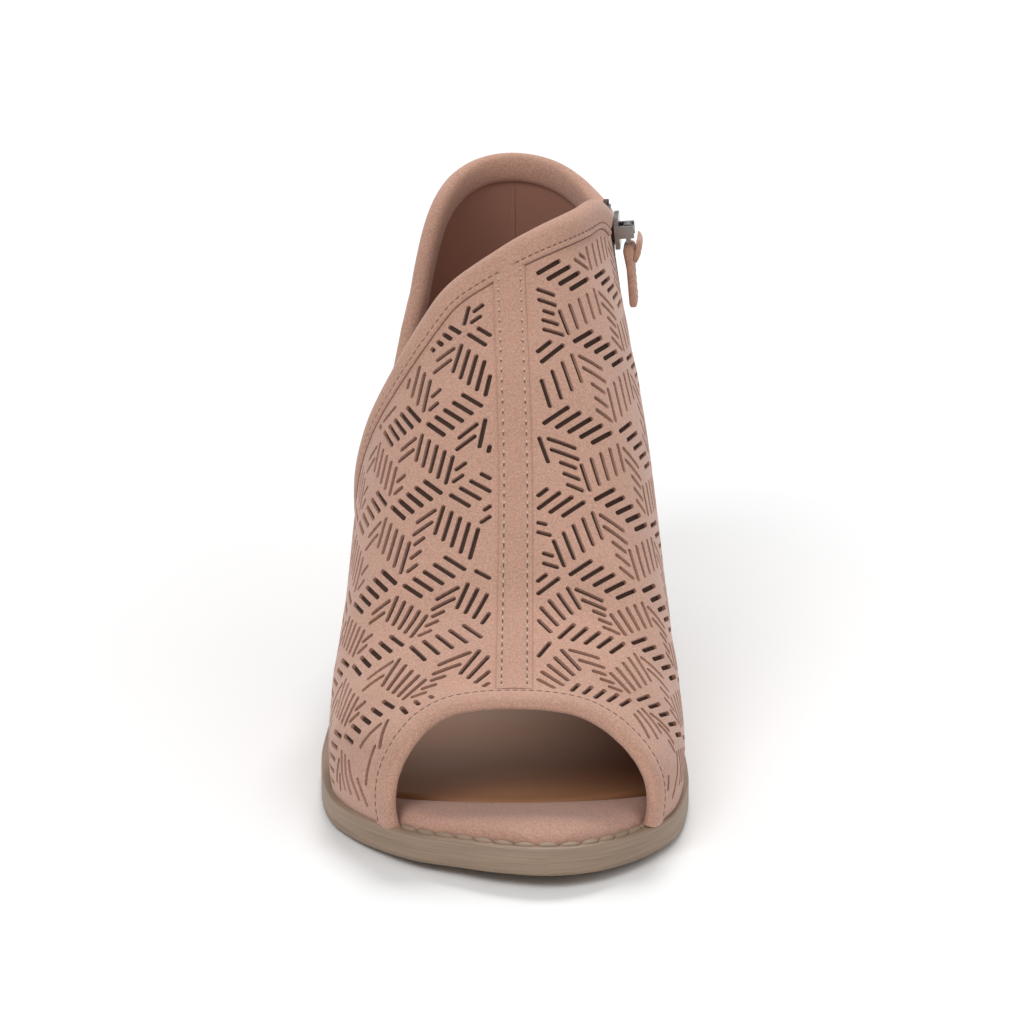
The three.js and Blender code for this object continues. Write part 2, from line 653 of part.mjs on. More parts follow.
function makeZipHardware() {
  const { origin, out, down, pin } = sliderFrame();
  // Local X is the pin's direction, local Y runs down the zip, local Z out from the wall
  const place = new THREE.Matrix4().makeBasis(pin, down, out).setPosition(origin);
  if (place.determinant() < 0) place.makeBasis(pin.clone().negate(), down, out).setPosition(origin);
  const box = (w, l, h, x, y, z) => {
    const geometry = new THREE.BoxGeometry(w, l, h);
    geometry.translate(x, y, z);
    return solidOf(geometry);
  };
  const rod = (radius, length, y, z) => {
    const geometry = new THREE.CylinderGeometry(radius, radius, length, 20);
    geometry.rotateZ(Math.PI / 2);
    geometry.translate(0, y, z);
    return solidOf(geometry);
  };
  const plateLow = CHAIN_PROUD + FIT_GAP;
  const plateTop = plateLow + SLIDER_THICKNESS;
  const eyeRadius = PIN_RADIUS + PIN_CLEARANCE + EYE_WALL;
  const pinHeight = plateTop + FIT_GAP + eyeRadius;
  const earOut = EYE_WIDTH / 2 + FIT_GAP + EAR_THICKNESS;
  const plate = box(SLIDER_WIDTH, SLIDER_LENGTH, SLIDER_THICKNESS, 0, 0, plateLow + SLIDER_THICKNESS / 2);
  const earHeight = pinHeight + PIN_RADIUS + EAR_THICKNESS - plateLow;
  const ears = [-1, 1].map((side) => box(
    EAR_THICKNESS,
    2 * (PIN_RADIUS + EAR_THICKNESS),
    earHeight,
    side * (earOut - EAR_THICKNESS / 2),
    0,
    plateLow + earHeight / 2,
  ));
  const slider = plate.add(ears[0]).add(ears[1]).add(rod(PIN_RADIUS, 2 * earOut, 0, pinHeight));
  addPart('zip_slider', geometryOf(slider).applyMatrix4(place), 'metal');

  const hole = rod(PIN_RADIUS + PIN_CLEARANCE, EYE_WIDTH + 1, 0, pinHeight);
  const link = rod(eyeRadius, EYE_WIDTH, 0, pinHeight)
    .add(box(EYE_WIDTH, LINK_LENGTH, LINK_THICKNESS, 0, LINK_LENGTH / 2, pinHeight))
    .subtract(hole);
  const tabStart = LINK_LENGTH + FIT_GAP;
  const tab = box(TAB_WIDTH, TAB_LENGTH, TAB_THICKNESS, 0, tabStart + TAB_LENGTH / 2, pinHeight);
  const tilt = new THREE.Matrix4().makeTranslation(0, 0, pinHeight)
    .multiply(new THREE.Matrix4().makeRotationX(-THREE.MathUtils.degToRad(PULL_TILT)))
    .multiply(new THREE.Matrix4().makeTranslation(0, 0, -pinHeight));
  const swing = place.clone().multiply(tilt);
  addPart('zip_pull_link', geometryOf(link).applyMatrix4(swing), 'metal');
  addPart('zip_pull_tab', geometryOf(tab).applyMatrix4(swing), 'suede');
}

makeSole();
makeHeel();
makeInside();
makeUpper();
makeZipHardware();

// The origin is on the floor, under the middle of the whole boot
const group = new THREE.Group();
parts.forEach((mesh) => group.add(mesh));
group.updateMatrixWorld(true);
const bounds = new THREE.Box3().setFromObject(group);
const middle = bounds.getCenter(new THREE.Vector3());
group.position.set(-middle.x, -middle.y, -bounds.min.z);

export default group;
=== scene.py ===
"""Looks of a peep toe ankle boot for the right foot: suede, bound edges, stitches, stacked sole, zip."""
import math

import bmesh
import bpy
import numpy as np
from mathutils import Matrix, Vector
from mathutils.bvhtree import BVHTree


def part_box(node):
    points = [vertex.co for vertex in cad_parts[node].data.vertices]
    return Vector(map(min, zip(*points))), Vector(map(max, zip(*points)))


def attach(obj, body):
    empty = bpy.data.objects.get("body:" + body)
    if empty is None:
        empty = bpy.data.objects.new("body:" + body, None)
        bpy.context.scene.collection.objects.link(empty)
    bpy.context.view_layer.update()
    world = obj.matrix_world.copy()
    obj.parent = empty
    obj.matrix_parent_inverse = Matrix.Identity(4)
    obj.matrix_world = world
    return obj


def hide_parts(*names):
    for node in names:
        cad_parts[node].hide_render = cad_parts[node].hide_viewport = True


bl_info = {
    "name": "Peep toe ankle boot",
    "version": (1, 0, 0),
    "blender": (4, 5, 0),
    "location": "View3D > Sidebar > Boot",
    "description": "Dresses the packed boot in suede, stitches, perforations and a stacked heel",
    "category": "Object",
}

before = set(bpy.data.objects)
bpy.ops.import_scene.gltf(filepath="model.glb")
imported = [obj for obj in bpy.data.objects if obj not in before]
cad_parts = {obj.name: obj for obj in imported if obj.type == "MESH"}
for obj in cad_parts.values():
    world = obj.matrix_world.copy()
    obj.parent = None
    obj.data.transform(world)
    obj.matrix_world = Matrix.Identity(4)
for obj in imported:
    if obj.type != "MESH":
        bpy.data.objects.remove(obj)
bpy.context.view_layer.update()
MM = 0.001

# Driving dimensions in millimetres, the same as those of the solids
LENGTH = 224.0
BALL_WIDTH = 90.0
HEEL_RISE = 58.0
TOE_SPRING = 3.5
SOLE_THICKNESS = 7.0
WAIST_THICKNESS = 4.6
LEDGE = 2.8
HEEL_LEDGE = 1.6
INSTEP_RISE = 98.0
BACK_RISE = 58.0
SKIRT = 6.0
TREAD_START, TREAD_END = 0.25, 0.37
THIN_START, THIN_END = 0.39, 0.59
WALL = 2.0
OUTER_LAYER = 1.0
LAYER_GAP = 0.05
BINDING_WIDTH = 7.0
TOE_BINDING_WIDTH = 6.2
TOPLINE_LOWEST = 0.645
INSOLE_THICKNESS = 4.4
INSOLE_INSET = 3.2
INSOLE_START = 3.4
FOOTBED_THICKNESS = 3.4
ZIP_WIDTH = 7.0
ZIP_BOTTOM_CLEARANCE = 12.0
ZIP_BOTTOM, ZIP_TOP = 0.786, 0.762
FAR = 400.0

# How far under the topline, and behind the toe's edge, each layer of the wall ends
SUEDE_SEAT = (5.6, 4.6)
LINING_SEAT = (3.4, 3.0)
ZIP_SLIT = ZIP_WIDTH + 0.1
ZIP_REACH = 40.0
SOLE_OVERLAP = 0.2
# Rows of stitches on the bindings: away from the edge, height above the form
TOPLINE_STITCH = (5.6, 0.66)
TOE_STITCH = (5.15, 0.58)
# Painted shadow of the grooves beside the bindings: how far from the edge its dark tube runs, and the tube's radius
TOPLINE_GROOVE = 7.15
TOE_GROOVE = 6.3
GROOVE_SHADOW_RADIUS = 0.2

RINGS_PER_ROW = 8
HALF_POINTS = 52

# Half widths of the sole. Columns: share of length, outer side, inner side (shares of ball width)
SOLE_OUTLINE = np.array([
    [0.000, 0.087, 0.087],
    [0.005, 0.020, 0.158],
    [0.017, -0.062, 0.218],
    [0.034, -0.137, 0.268],
    [0.058, -0.246, 0.322],
    [0.100, -0.350, 0.389],
    [0.145, -0.428, 0.438],
    [0.201, -0.490, 0.466],
    [0.268, -0.515, 0.478],
    [0.345, -0.520, 0.472],
    [0.424, -0.506, 0.430],
    [0.527, -0.470, 0.363],
    [0.634, -0.430, 0.318],
    [0.737, -0.390, 0.315],
    [0.839, -0.350, 0.325],
    [0.915, -0.290, 0.285],
    [0.964, -0.196, 0.196],
    [0.991, -0.094, 0.094],
    [1.000, 0.000, 0.000],
])

# Sections of the upper. Columns: ridge along and above the sole, base along and above the sole, half width
# outside and inside, share of the way down where it is widest, roundness of the ridge, 1 where the base is open
UPPER_SECTIONS = np.array([
    [0.050, 0.215, 0.050, 0, 0.235, 0.318, 0.62, 2.35, 1],
    [0.085, 0.262, 0.085, 0, 0.318, 0.372, 0.62, 2.35, 1],
    [0.125, 0.297, 0.125, 0, 0.392, 0.417, 0.64, 2.35, 1],
    [0.170, 0.321, 0.170, 0, 0.450, 0.448, 0.66, 2.30, 1],
    [0.223, 0.374, 0.223, 0, 0.489, 0.464, 0.68, 2.25, 1],
    [0.277, 0.432, 0.277, 0, 0.496, 0.466, 0.70, 2.20, 1],
    [0.348, 0.567, 0.348, 0, 0.490, 0.456, 0.70, 2.20, 1],
    [0.420, 0.718, 0.430, 0, 0.466, 0.436, 0.66, 2.15, 1],
    [0.482, 0.856, 0.565, 0, 0.443, 0.410, 0.60, 2.10, 1],
    [0.531, 0.930, 0.679, 0, 0.418, 0.384, 0.56, 2.05, 1],
    [0.567, 0.994, 0.786, 0, 0.386, 0.355, 0.53, 2.00, 1],
    [0.594, 1.048, 0.884, 0, 0.335, 0.326, 0.52, 2.00, 1],
    [0.612, 1.119, 0.960, 0, 0.308, 0.308, 0.52, 2.00, 1],
    [0.621, 1.185, 0.991, 0.02, 0.290, 0.297, 0.52, 2.00, 0],
    [0.625, 1.236, 0.998, 0.43, 0.270, 0.285, 0.52, 2.00, 0],
    [0.629, 1.282, 0.991, 0.78, 0.253, 0.274, 0.52, 2.00, 0],
    [0.632, 1.323, 0.982, 1.08, 0.245, 0.266, 0.52, 2.00, 0],
    [0.634, 1.364, 0.978, 1.38, 0.240, 0.260, 0.52, 2.00, 0],
])

# The topline. Columns: along, across, height above the sole (shares of LENGTH, BALL_WIDTH, INSTEP_RISE)
TOPLINE = np.array([
    [0.585, 0.000, 1.040],
    [0.579, -0.093, 0.995],
    [0.576, -0.201, 0.926],
    [0.570, -0.254, 0.865],
    [0.565, -0.296, 0.807],
    [0.562, -0.337, 0.738],
    [0.564, -0.369, 0.670],
    [0.570, -0.392, 0.597],
    [0.577, -0.413, 0.512],
    [0.589, -0.431, 0.415],
    [0.608, -0.442, 0.316],
    [0.636, -0.446, 0.240],
    [0.670, -0.442, 0.205],
    [0.705, -0.429, 0.202],
    [0.750, -0.400, 0.220],
    [0.804, -0.362, 0.278],
    [0.848, -0.321, 0.380],
    [0.879, -0.287, 0.465],
    [0.908, -0.242, 0.538],
    [0.938, -0.191, 0.569],
    [0.960, -0.142, 0.582],
    [0.980, -0.078, 0.591],
    [0.988, 0.000, 0.594],
    [0.980, 0.078, 0.591],
    [0.962, 0.140, 0.584],
    [0.935, 0.193, 0.575],
    [0.904, 0.237, 0.574],
    [0.857, 0.269, 0.602],
    [0.812, 0.287, 0.657],
    [0.781, 0.289, 0.711],
    [0.757, 0.287, 0.768],
    [0.737, 0.282, 0.824],
    [0.714, 0.267, 0.883],
    [0.688, 0.242, 0.937],
    [0.656, 0.207, 0.985],
    [0.625, 0.152, 1.026],
    [0.598, 0.078, 1.050],
])

# Edge of the peep toe in side view. Columns: millimetres from the tip of the toe, height
PEEP_LINE = np.array([
    [19.6, 0],
    [19.4, 12],
    [19.3, 18],
    [19.6, 23],
    [20.6, 27],
    [22.4, 30.5],
    [24.9, 33.4],
    [27.2, 35.6],
    [28.8, 38.5],
    [29.6, 43],
])

# Soft creases of the worn-in form. Columns: start across, along, up, end across, along, up, half width, depth
CREASES = np.array([
    [-34.0, 30.0, 22.0, -41.0, 48.0, 16.0, 2.6, 0.35],
    [-30.0, 36.0, 31.0, -40.0, 58.0, 24.0, 3.4, 0.30],
    [34.0, 34.0, 22.0, 41.0, 52.0, 15.0, 3.0, 0.30],
    [-22.0, 62.0, 47.0, -40.0, 84.0, 30.0, 5.0, 0.40],
    [20.0, 66.0, 50.0, 39.0, 90.0, 30.0, 5.0, 0.40],
    [-37.0, 128.0, 44.0, -38.0, 152.0, 36.0, 3.5, 0.45],
    [30.0, 150.0, 88.0, 33.0, 176.0, 78.0, 4.0, 0.35],
    [33.0, 138.0, 62.0, 33.0, 166.0, 56.0, 4.0, 0.35],
    [-18.0, 214.0, 88.0, 18.0, 214.0, 84.0, 5.0, 0.40],
])

# The layout of the perforations on a half of the vamp laid flat, in the side view's directions (along, up).
# The rows of each side belong to 1, a, b, a*a, a*b and b*b: a counts the groups towards the ridge, b up it
SLOT_LAYOUT = {
    -1: np.array([
        [89.84, 52.95], [-10.48, 14.39], [21.23, 11.2], [1.2, 2.35], [-1.55, -3.63], [-0.85, 0.9],
    ]),
    1: np.array([
        [90.94, 50.11], [-15.61, 13.77], [22.07, 10.86], [-1.23, -1.14], [-1.26, -0.25], [0.2, 0.33],
    ]),
}
SLOT_BEND = (2.4, 3.2)
# The three kinds of group, in counts of a and b: its middle, the run of a slot, the step to the next slot
SLOT_GROUPS = np.array([
    [[0.06, -0.04], [0.218, 0.312], [0.0905, -0.0933]],
    [[-0.49, -0.07], [0.355, 0.13], [-0.095, -0.147]],
    [[-0.42, 0.47], [0.19, -0.188], [-0.169, -0.061]],
])
SLOTS_IN_GROUP = 5
SLOT_MARGIN_RIDGE = 5.9
SLOT_MARGIN_TOPLINE = 9.4
SLOT_MARGIN_TOE = 8.6
SLOT_MARGIN_SOLE = 2.8
SLOT_MARGIN_ZIP = 7.5
SLOT_LAST_OUTER = 150.0
SHORTEST_SLOT = 0.7
SLOT_CLEARANCE = 1.75
SLOT_CUT_DEPTH = 3.0
# The part of the form that is laid flat for the perforations, in rows of the sections
FLAT_ROWS = 12.6


def monotone(xs, ys):
    """A smooth curve through points that never overshoots between them."""
    steps, rises = np.diff(xs), np.diff(ys)
    slopes = rises / steps
    tangents = np.zeros_like(xs)
    tangents[0], tangents[-1] = slopes[0], slopes[-1]
    for i in range(1, len(xs) - 1):
        before, after = slopes[i - 1], slopes[i]
        if before * after > 0:
            a, b = 2 * steps[i] + steps[i - 1], steps[i] + 2 * steps[i - 1]
            tangents[i] = (a + b) / (a / before + b / after)

    def value(x):
        i = np.clip(np.searchsorted(xs, x, side="right") - 1, 0, len(xs) - 2)
        t = (x - xs[i]) / steps[i]
        h1, h2 = t * t * (3 - 2 * t), t * t * (t - 1)
        ends = ys[i] * (1 - h1) + ys[i + 1] * h1
        return ends + steps[i] * (tangents[i] * (h2 - t * t + t) + tangents[i + 1] * h2)

    return value


def ease(t):
    t = np.clip(t, 0, 1)
    return t * t * (3 - 2 * t)


def unit(v):
    v = np.asarray(v, float)
    return v / np.maximum(np.linalg.norm(v, axis=-1, keepdims=True), 1e-12)


# The sole's own curves


def sole_bottom(along):
    share = np.asarray(along, float) / LENGTH
    spring = TOE_SPRING * (1 - np.clip(share, 0, TREAD_START) / TREAD_START) ** 2
    return spring + HEEL_RISE * ease((share - TREAD_END) / (1 - TREAD_END))


def sole_top(along):
    thin = ease((np.asarray(along, float) / LENGTH - THIN_START) / (THIN_END - THIN_START))
    return sole_bottom(along) + SOLE_THICKNESS + (WAIST_THICKNESS - SOLE_THICKNESS) * thin


def turn_of(share):
    return np.arccos(np.clip(1 - 2 * np.asarray(share, float), -1, 1))


OUTLINE_SIDES = [monotone(turn_of(SOLE_OUTLINE[:, 0]), SOLE_OUTLINE[:, k]) for k in (1, 2)]


def inset_outline(side, along, front, rear):
    """Across value of the sole's outline, drawn in by one inset at the toe and another at the heel."""
    share = np.clip((np.asarray(along, float) - front) / (LENGTH - front - rear), 0, 1)
    outer, inner = (BALL_WIDTH * f(turn_of(share)) for f in OUTLINE_SIDES)
    inset = front + (rear - front) * ease(share)
    half = np.maximum((inner - outer) / 2 * (1 - inset / (BALL_WIDTH / 2)), 0)
    return (outer + inner) / 2 + (-half if side == 0 else half)


OUTSOLE_BOX = [np.array(c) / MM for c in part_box("outsole")]
SHIFT = np.array([
    (OUTSOLE_BOX[0][0] + OUTSOLE_BOX[1][0]) / 2
    - BALL_WIDTH * (SOLE_OUTLINE[:, 1].min() + SOLE_OUTLINE[:, 2].max()) / 2,
    OUTSOLE_BOX[0][1],
    0.0,
])


# The upper's form


def half_section(half, base_half, widest, power):
    angle = np.linspace(0, math.pi, 241)
    turn = np.abs(np.cos(angle))
    above = angle <= math.pi / 2
    closing = (base_half / half) ** 2
    narrow = half * np.sqrt(np.maximum(1 - (1 - closing) * turn ** 2, 0))
    across = np.where(above, half * np.clip(np.sin(angle), 0, 1) ** (2 / power), narrow)
    down = np.where(above, widest * (1 - turn ** (2 / power)), widest + (1 - widest) * turn)
    return across, down


def running_length(points):
    """The length along a line up to each of its points."""
    return np.concatenate([[0], np.cumsum(np.linalg.norm(np.diff(points, axis=0), axis=1))])


def read_off(wanted, lengths, rows):
    """Rows of values at the wanted lengths."""
    return np.stack([np.interp(wanted, lengths, rows[:, k]) for k in range(rows.shape[1])], 1)


def resample(points, count):
    """Points spread evenly by length along a line."""
    lengths = running_length(points)
    return read_off(np.linspace(0, lengths[-1], count), lengths, points)


def upper_ring(step, columns):
    values = [float(f(step)) for f in columns]
    ridge, ridge_rise, base, base_rise, outer, inner, widest, power, is_open = values
    ridge_up = float(sole_top(ridge * LENGTH)) + ridge_rise * INSTEP_RISE
    ridge_point = np.array([0, ridge * LENGTH, ridge_up])
    base_along = base * LENGTH
    base_up = float(sole_top(min(base_along, LENGTH))) + base_rise * BACK_RISE
    base_up -= SKIRT * (1 - min(base_rise * 8, 1))
    base_point = np.array([0, base_along, base_up])
    halves = []
    for side, half in ((0, outer * BALL_WIDTH), (1, inner * BALL_WIDTH)):
        feather = abs(float(inset_outline(side, min(base_along, LENGTH), LEDGE, HEEL_LEDGE)))
        base_half = max(min(feather, half * 0.995) * is_open, 0.4)
        across, down = half_section(half, base_half, widest, power)
        points = ridge_point + (base_point - ridge_point) * down[:, None]
        points[:, 0] = -across if side == 0 else across
        halves.append(resample(points, HALF_POINTS + 1))
    return np.concatenate([halves[0][::-1], halves[1][1:]])


def grid_normals(grid):
    lengthways = np.gradient(grid, axis=0)
    around = np.gradient(grid, axis=1)
    return unit(np.cross(around, lengthways))


def crease_depth(points):
    """How far each point is pressed in by the soft creases."""
    depth = np.zeros(points.shape[:-1])
    for row in CREASES:
        start, end, half, deep = row[:3], row[3:6], row[6], row[7]
        run = end - start
        share = np.clip(((points - start) @ run) / (run @ run), 0, 1)
        away = np.linalg.norm(points - (start + share[..., None] * run), axis=-1)
        trough = np.exp(-(away / half) ** 2)
        ridge = 0.45 * np.exp(-((away - 1.9 * half) / half) ** 2)
        depth += deep * (trough - ridge) * np.sin(math.pi * (0.15 + 0.7 * share))
    return depth


def make_form():
    columns = [monotone(np.arange(len(UPPER_SECTIONS), dtype=float), c) for c in UPPER_SECTIONS.T]
    steps = np.linspace(0, len(UPPER_SECTIONS) - 1, (len(UPPER_SECTIONS) - 1) * RINGS_PER_ROW + 1)
    grid = np.array([upper_ring(s, columns) for s in steps])
    normals = grid_normals(grid)
    grid = grid - normals * crease_depth(grid)[..., None]
    return grid, grid_normals(grid)


FORM, FORM_NORMALS = make_form()


def closed_form(offset):
    """Vertices and faces of the whole form, grown by an offset and capped at both ends."""
    return loft(FORM + FORM_NORMALS * offset)


def loft(rings, caps=True):
    """Vertices and faces through rings of equal length."""
    rows, count = len(rings), len(rings[0])
    verts = np.concatenate([np.asarray(r) for r in rings])
    faces = []
    for i in range(rows - 1):
        for j in range(count):
            k = (j + 1) % count
            faces.append((i * count + j, i * count + k, (i + 1) * count + k, (i + 1) * count + j))
    if caps:
        middles = []
        for row, turn in ((0, True), (rows - 1, False)):
            middle = len(verts) + len(middles)
            middles.append(np.mean(rings[row], axis=0))
            for j in range(count):
                a, b = row * count + j, row * count + (j + 1) % count
                faces.append((b, a, middle) if turn else (a, b, middle))
        verts = np.concatenate([verts, np.array(middles)])
    return verts, faces


def signed_volume(verts, faces):
    total = 0.0
    for f in faces:
        for k in range(1, len(f) - 1):
            total += verts[f[0]] @ np.cross(verts[f[k]], verts[f[k + 1]])
    return total


def outward(verts, faces):
    if signed_volume(verts, faces) < 0:
        faces = [tuple(reversed(f)) for f in faces]
    return verts, faces


# Making and joining meshes


def new_mesh(name, verts, faces, shift=True):
    """An object from points in millimetres of the model, put into the row frame in metres."""
    verts = np.asarray(verts, float)
    mesh = bpy.data.meshes.new(name)
    placed = (verts + SHIFT) * MM if shift else verts * MM
    mesh.from_pydata(placed.tolist(), [], [list(map(int, f)) for f in faces])
    mesh.validate()
    obj = bpy.data.objects.new(name, mesh)
    bpy.context.scene.collection.objects.link(obj)
    return obj


def solid(name, shape):
    return new_mesh(name, *outward(*shape))


def set_field(mesh, name, kind, values):
    """Keeps a number or a direction for each point of a mesh."""
    field = mesh.attributes.new(name, kind, "POINT")
    key = "vector" if kind == "FLOAT_VECTOR" else "value"
    field.data.foreach_set(key, np.asarray(values, float).ravel())


def settle(obj):
    """Turns what the modifiers make of an object into its plain mesh."""
    bpy.context.view_layer.update()
    made = bpy.data.meshes.new_from_object(obj.evaluated_get(bpy.context.evaluated_depsgraph_get()))
    old = obj.data
    obj.modifiers.clear()
    obj.data = made
    bpy.data.meshes.remove(old)
    made.name = obj.name


def carve(obj, *steps):
    """Applies (operation, cutter) steps one after the other; the cutters are kept."""
    for operation, cutter in steps:
        modifier = obj.modifiers.new("carve", "BOOLEAN")
        modifier.operation = operation
        modifier.object = cutter
        modifier.solver = "MANIFOLD"
        settle(obj)


def drop(*objs):
    for obj in objs:
        mesh = obj.data
        bpy.data.objects.remove(obj)
        bpy.data.meshes.remove(mesh)


def smooth_shade(obj, angle=40.0):
    """Smooth faces with a crisp edge where two faces meet at more than the angle."""
    mesh = obj.data
    mesh.polygons.foreach_set("use_smooth", [True] * len(mesh.polygons))
    mesh.set_sharp_from_angle(angle=math.radians(angle))
    mesh.update()


def finish_piece(obj, material, body="boot", replaces=(), angle=40.0):
    if material is not None:
        obj.data.materials.clear()
        obj.data.materials.append(material)
    smooth_shade(obj, angle)
    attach(obj, body)
    if replaces:
        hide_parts(*replaces)
    return obj


def side_prism(outline, x_from, x_to):
    """A closed outline in side view (along, up), pushed across."""
    outline = np.asarray(outline, float)
    ends = [np.column_stack([np.full(len(outline), x), outline]) for x in (x_from, x_to)]
    count = len(outline)
    faces = [tuple(range(count)), tuple(range(2 * count - 1, count - 1, -1))]
    faces += [(j, count + j, count + (j + 1) % count, (j + 1) % count) for j in range(count)]
    return np.concatenate(ends), faces


def below_sole_top(steps=120):
    """Everything under the top of the sole, but for a little overlap."""
    along = np.linspace(-5, LENGTH + 5, steps)
    low = np.column_stack([along, np.full(steps, -FAR)])
    high = np.column_stack([along, sole_top(along) - SOLE_OVERLAP])
    return solid("under_sole", side_prism(np.concatenate([low, high[::-1]]), -BALL_WIDTH, BALL_WIDTH))


# Places on the form


def make_form_tree():
    verts, faces = closed_form(0)
    return BVHTree.FromPolygons([Vector(v) for v in verts], faces)


FORM_TREE = make_form_tree()
FORM_POINTS = FORM.reshape(-1, 3)
FORM_POINT_NORMALS = FORM_NORMALS.reshape(-1, 3)


def on_form(point, height=0.0):
    """The nearest place on the form and its smoothed outward direction."""
    place = np.array(FORM_TREE.find_nearest(Vector(point))[0])
    near = np.argpartition(np.sum((FORM_POINTS - place) ** 2, axis=1), 4)[:4]
    weights = 1 / (np.linalg.norm(FORM_POINTS[near] - place, axis=1) + 0.05)
    normal = unit((FORM_POINT_NORMALS[near] * weights[:, None]).sum(0))
    return place + normal * height, normal


def form_row(points, height=0.0):
    """The nearest places on the form to some points, and the outward directions there."""
    pairs = [on_form(p, height) for p in points]
    return np.array([p for p, _ in pairs]), np.array([n for _, n in pairs])


def soften(values, reach, closed=False):
    """A running mean along the first axis."""
    values = np.asarray(values, float)
    if reach == 0:
        return values
    if closed:
        padded = np.concatenate([values[-reach:], values, values[:reach]])
    else:
        padded = np.concatenate([np.repeat(values[:1], reach, 0), values, np.repeat(values[-1:], reach, 0)])
    kernel = np.ones(2 * reach + 1) / (2 * reach + 1)
    flat = padded.reshape(len(padded), -1)
    out = np.stack([np.convolve(flat[:, k], kernel, mode="valid") for k in range(flat.shape[1])], 1)
    return out.reshape(values.shape)


def closed_curve(points, count):
    """A smooth closed curve through points, sampled evenly by length."""
    points = np.asarray(points, float)
    gaps = np.linalg.norm(np.roll(points, -1, 0) - points, axis=1) ** 0.5
    knots = np.concatenate([[0], np.cumsum(gaps)])
    fine = []
    total = len(points)
    for i in range(total):
        p = [points[(i + k - 1) % total] for k in range(4)]
        t = [0, gaps[(i - 1) % total], 0, 0]
        t[2] = t[1] + gaps[i]
        t[3] = t[2] + gaps[(i + 1) % total]
        for share in np.linspace(0, 1, 16, endpoint=False):
            s = t[1] + (t[2] - t[1]) * share
            a = [(p[k] * (t[k + 1] - s) + p[k + 1] * (s - t[k])) / (t[k + 1] - t[k]) for k in range(3)]
            b = [(a[k] * (t[k + 2] - s) + a[k + 1] * (s - t[k])) / (t[k + 2] - t[k]) for k in range(2)]
            fine.append((b[0] * (t[2] - s) + b[1] * (s - t[1])) / (t[2] - t[1]))
    fine.append(fine[0])
    return resample(np.array(fine), count + 1)[:-1]


TOPLINE_STEPS = 260


class EdgePath:
    """A line on the form with, at each of its points, the outward and the away-from-the-edge direction."""

    def __init__(self, points, closed, away):
        self.closed = closed
        places, normals = form_row(points)
        self.points = soften(places, 1, closed)
        self.outward = unit(soften(normals, 5, closed))
        if closed:
            tangent = np.roll(self.points, -1, 0) - np.roll(self.points, 1, 0)
        else:
            tangent = np.gradient(self.points, axis=0)
        self.tangent = unit(tangent)
        self.away = unit(np.cross(self.outward, self.tangent))
        if np.mean(self.away @ away) < 0:
            self.away = -self.away


def topline_points():
    along = TOPLINE[:, 0] * LENGTH
    up = sole_top(along) + TOPLINE[:, 2] * INSTEP_RISE
    return closed_curve(np.column_stack([TOPLINE[:, 1] * BALL_WIDTH, along, up]), TOPLINE_STEPS)


TOPLINE_PATH = EdgePath(topline_points(), True, np.array([0, 0, -1.0]))


def peep_along(up):
    return np.interp(up, PEEP_LINE[:, 1], PEEP_LINE[:, 0])


def peep_points():
    """Where the peep toe's edge crosses the form, from the outer side over the top to the inner side."""
    points = []
    for j in range(FORM.shape[1]):
        column = FORM[:, j]
        beyond = column[:, 1] - peep_along(column[:, 2])
        crossing = np.where((beyond[:-1] < 0) & (beyond[1:] >= 0))[0]
        if len(crossing):
            i = crossing[0]
            share = -beyond[i] / (beyond[i + 1] - beyond[i])
            points.append(column[i] + (column[i + 1] - column[i]) * share)
    points = np.array(points)
    keep = points[:, 2] > sole_top(points[:, 1]) - 0.8
    return resample(points[keep], 150)


PEEP_PATH = EdgePath(peep_points(), False, np.array([0, 1.0, 0]))


def above_topline(under, reach=6.0):
    """Everything above a line that runs a given distance under the topline."""
    seat = TOPLINE_PATH.points + TOPLINE_PATH.away * under
    inside = seat - TOPLINE_PATH.outward * reach
    outside = seat + TOPLINE_PATH.outward * reach
    lid = outside.copy()
    lid[:, 2] = 2 * (INSTEP_RISE + HEEL_RISE)
    return solid("above_topline", loft([inside, outside, lid]))


def before_peep(setback):
    """Everything in front of a line that runs a given distance behind the toe's edge."""
    edge = [(along + setback, up) for along, up in PEEP_LINE]
    outline = [(-FAR, -FAR), (edge[0][0], -FAR), *edge, (edge[-1][0], FAR), (-FAR, FAR)]
    return solid("before_peep", side_prism(outline, -BALL_WIDTH, BALL_WIDTH))


def zip_ends():
    bottom = np.array([ZIP_BOTTOM * LENGTH, float(sole_top(ZIP_BOTTOM * LENGTH)) + ZIP_BOTTOM_CLEARANCE])
    inner = TOPLINE_PATH.points[TOPLINE_PATH.points[:, 0] > 0]
    crossing = inner[np.argmin(abs(inner[:, 1] - ZIP_TOP * LENGTH))]
    return bottom, np.array([ZIP_TOP * LENGTH, crossing[2]])


ZIP_LOW, ZIP_HIGH = zip_ends()

# Partly the backing cloth's own colour and partly painted shade: near black, so the narrow slots look as dark as
# their shade

def zip_band():
    """Everything in the slit of the zip, from its lower end to well above its upper end."""
    direction = unit(ZIP_HIGH - ZIP_LOW)
    aside = np.array([-direction[1], direction[0]]) * ZIP_SLIT / 2
    low, high = ZIP_LOW, ZIP_HIGH + direction * ZIP_REACH
    outline = [low + aside, low - aside, high - aside, high + aside]
    return solid("zip_band", side_prism(outline, 0, BALL_WIDTH))


def shell(name, outside, inside):
    """The form's wall between two offsets."""
    piece = solid(name, closed_form(outside))
    core = solid("core", closed_form(inside))
    carve(piece, ("DIFFERENCE", core))
    drop(core)
    return piece


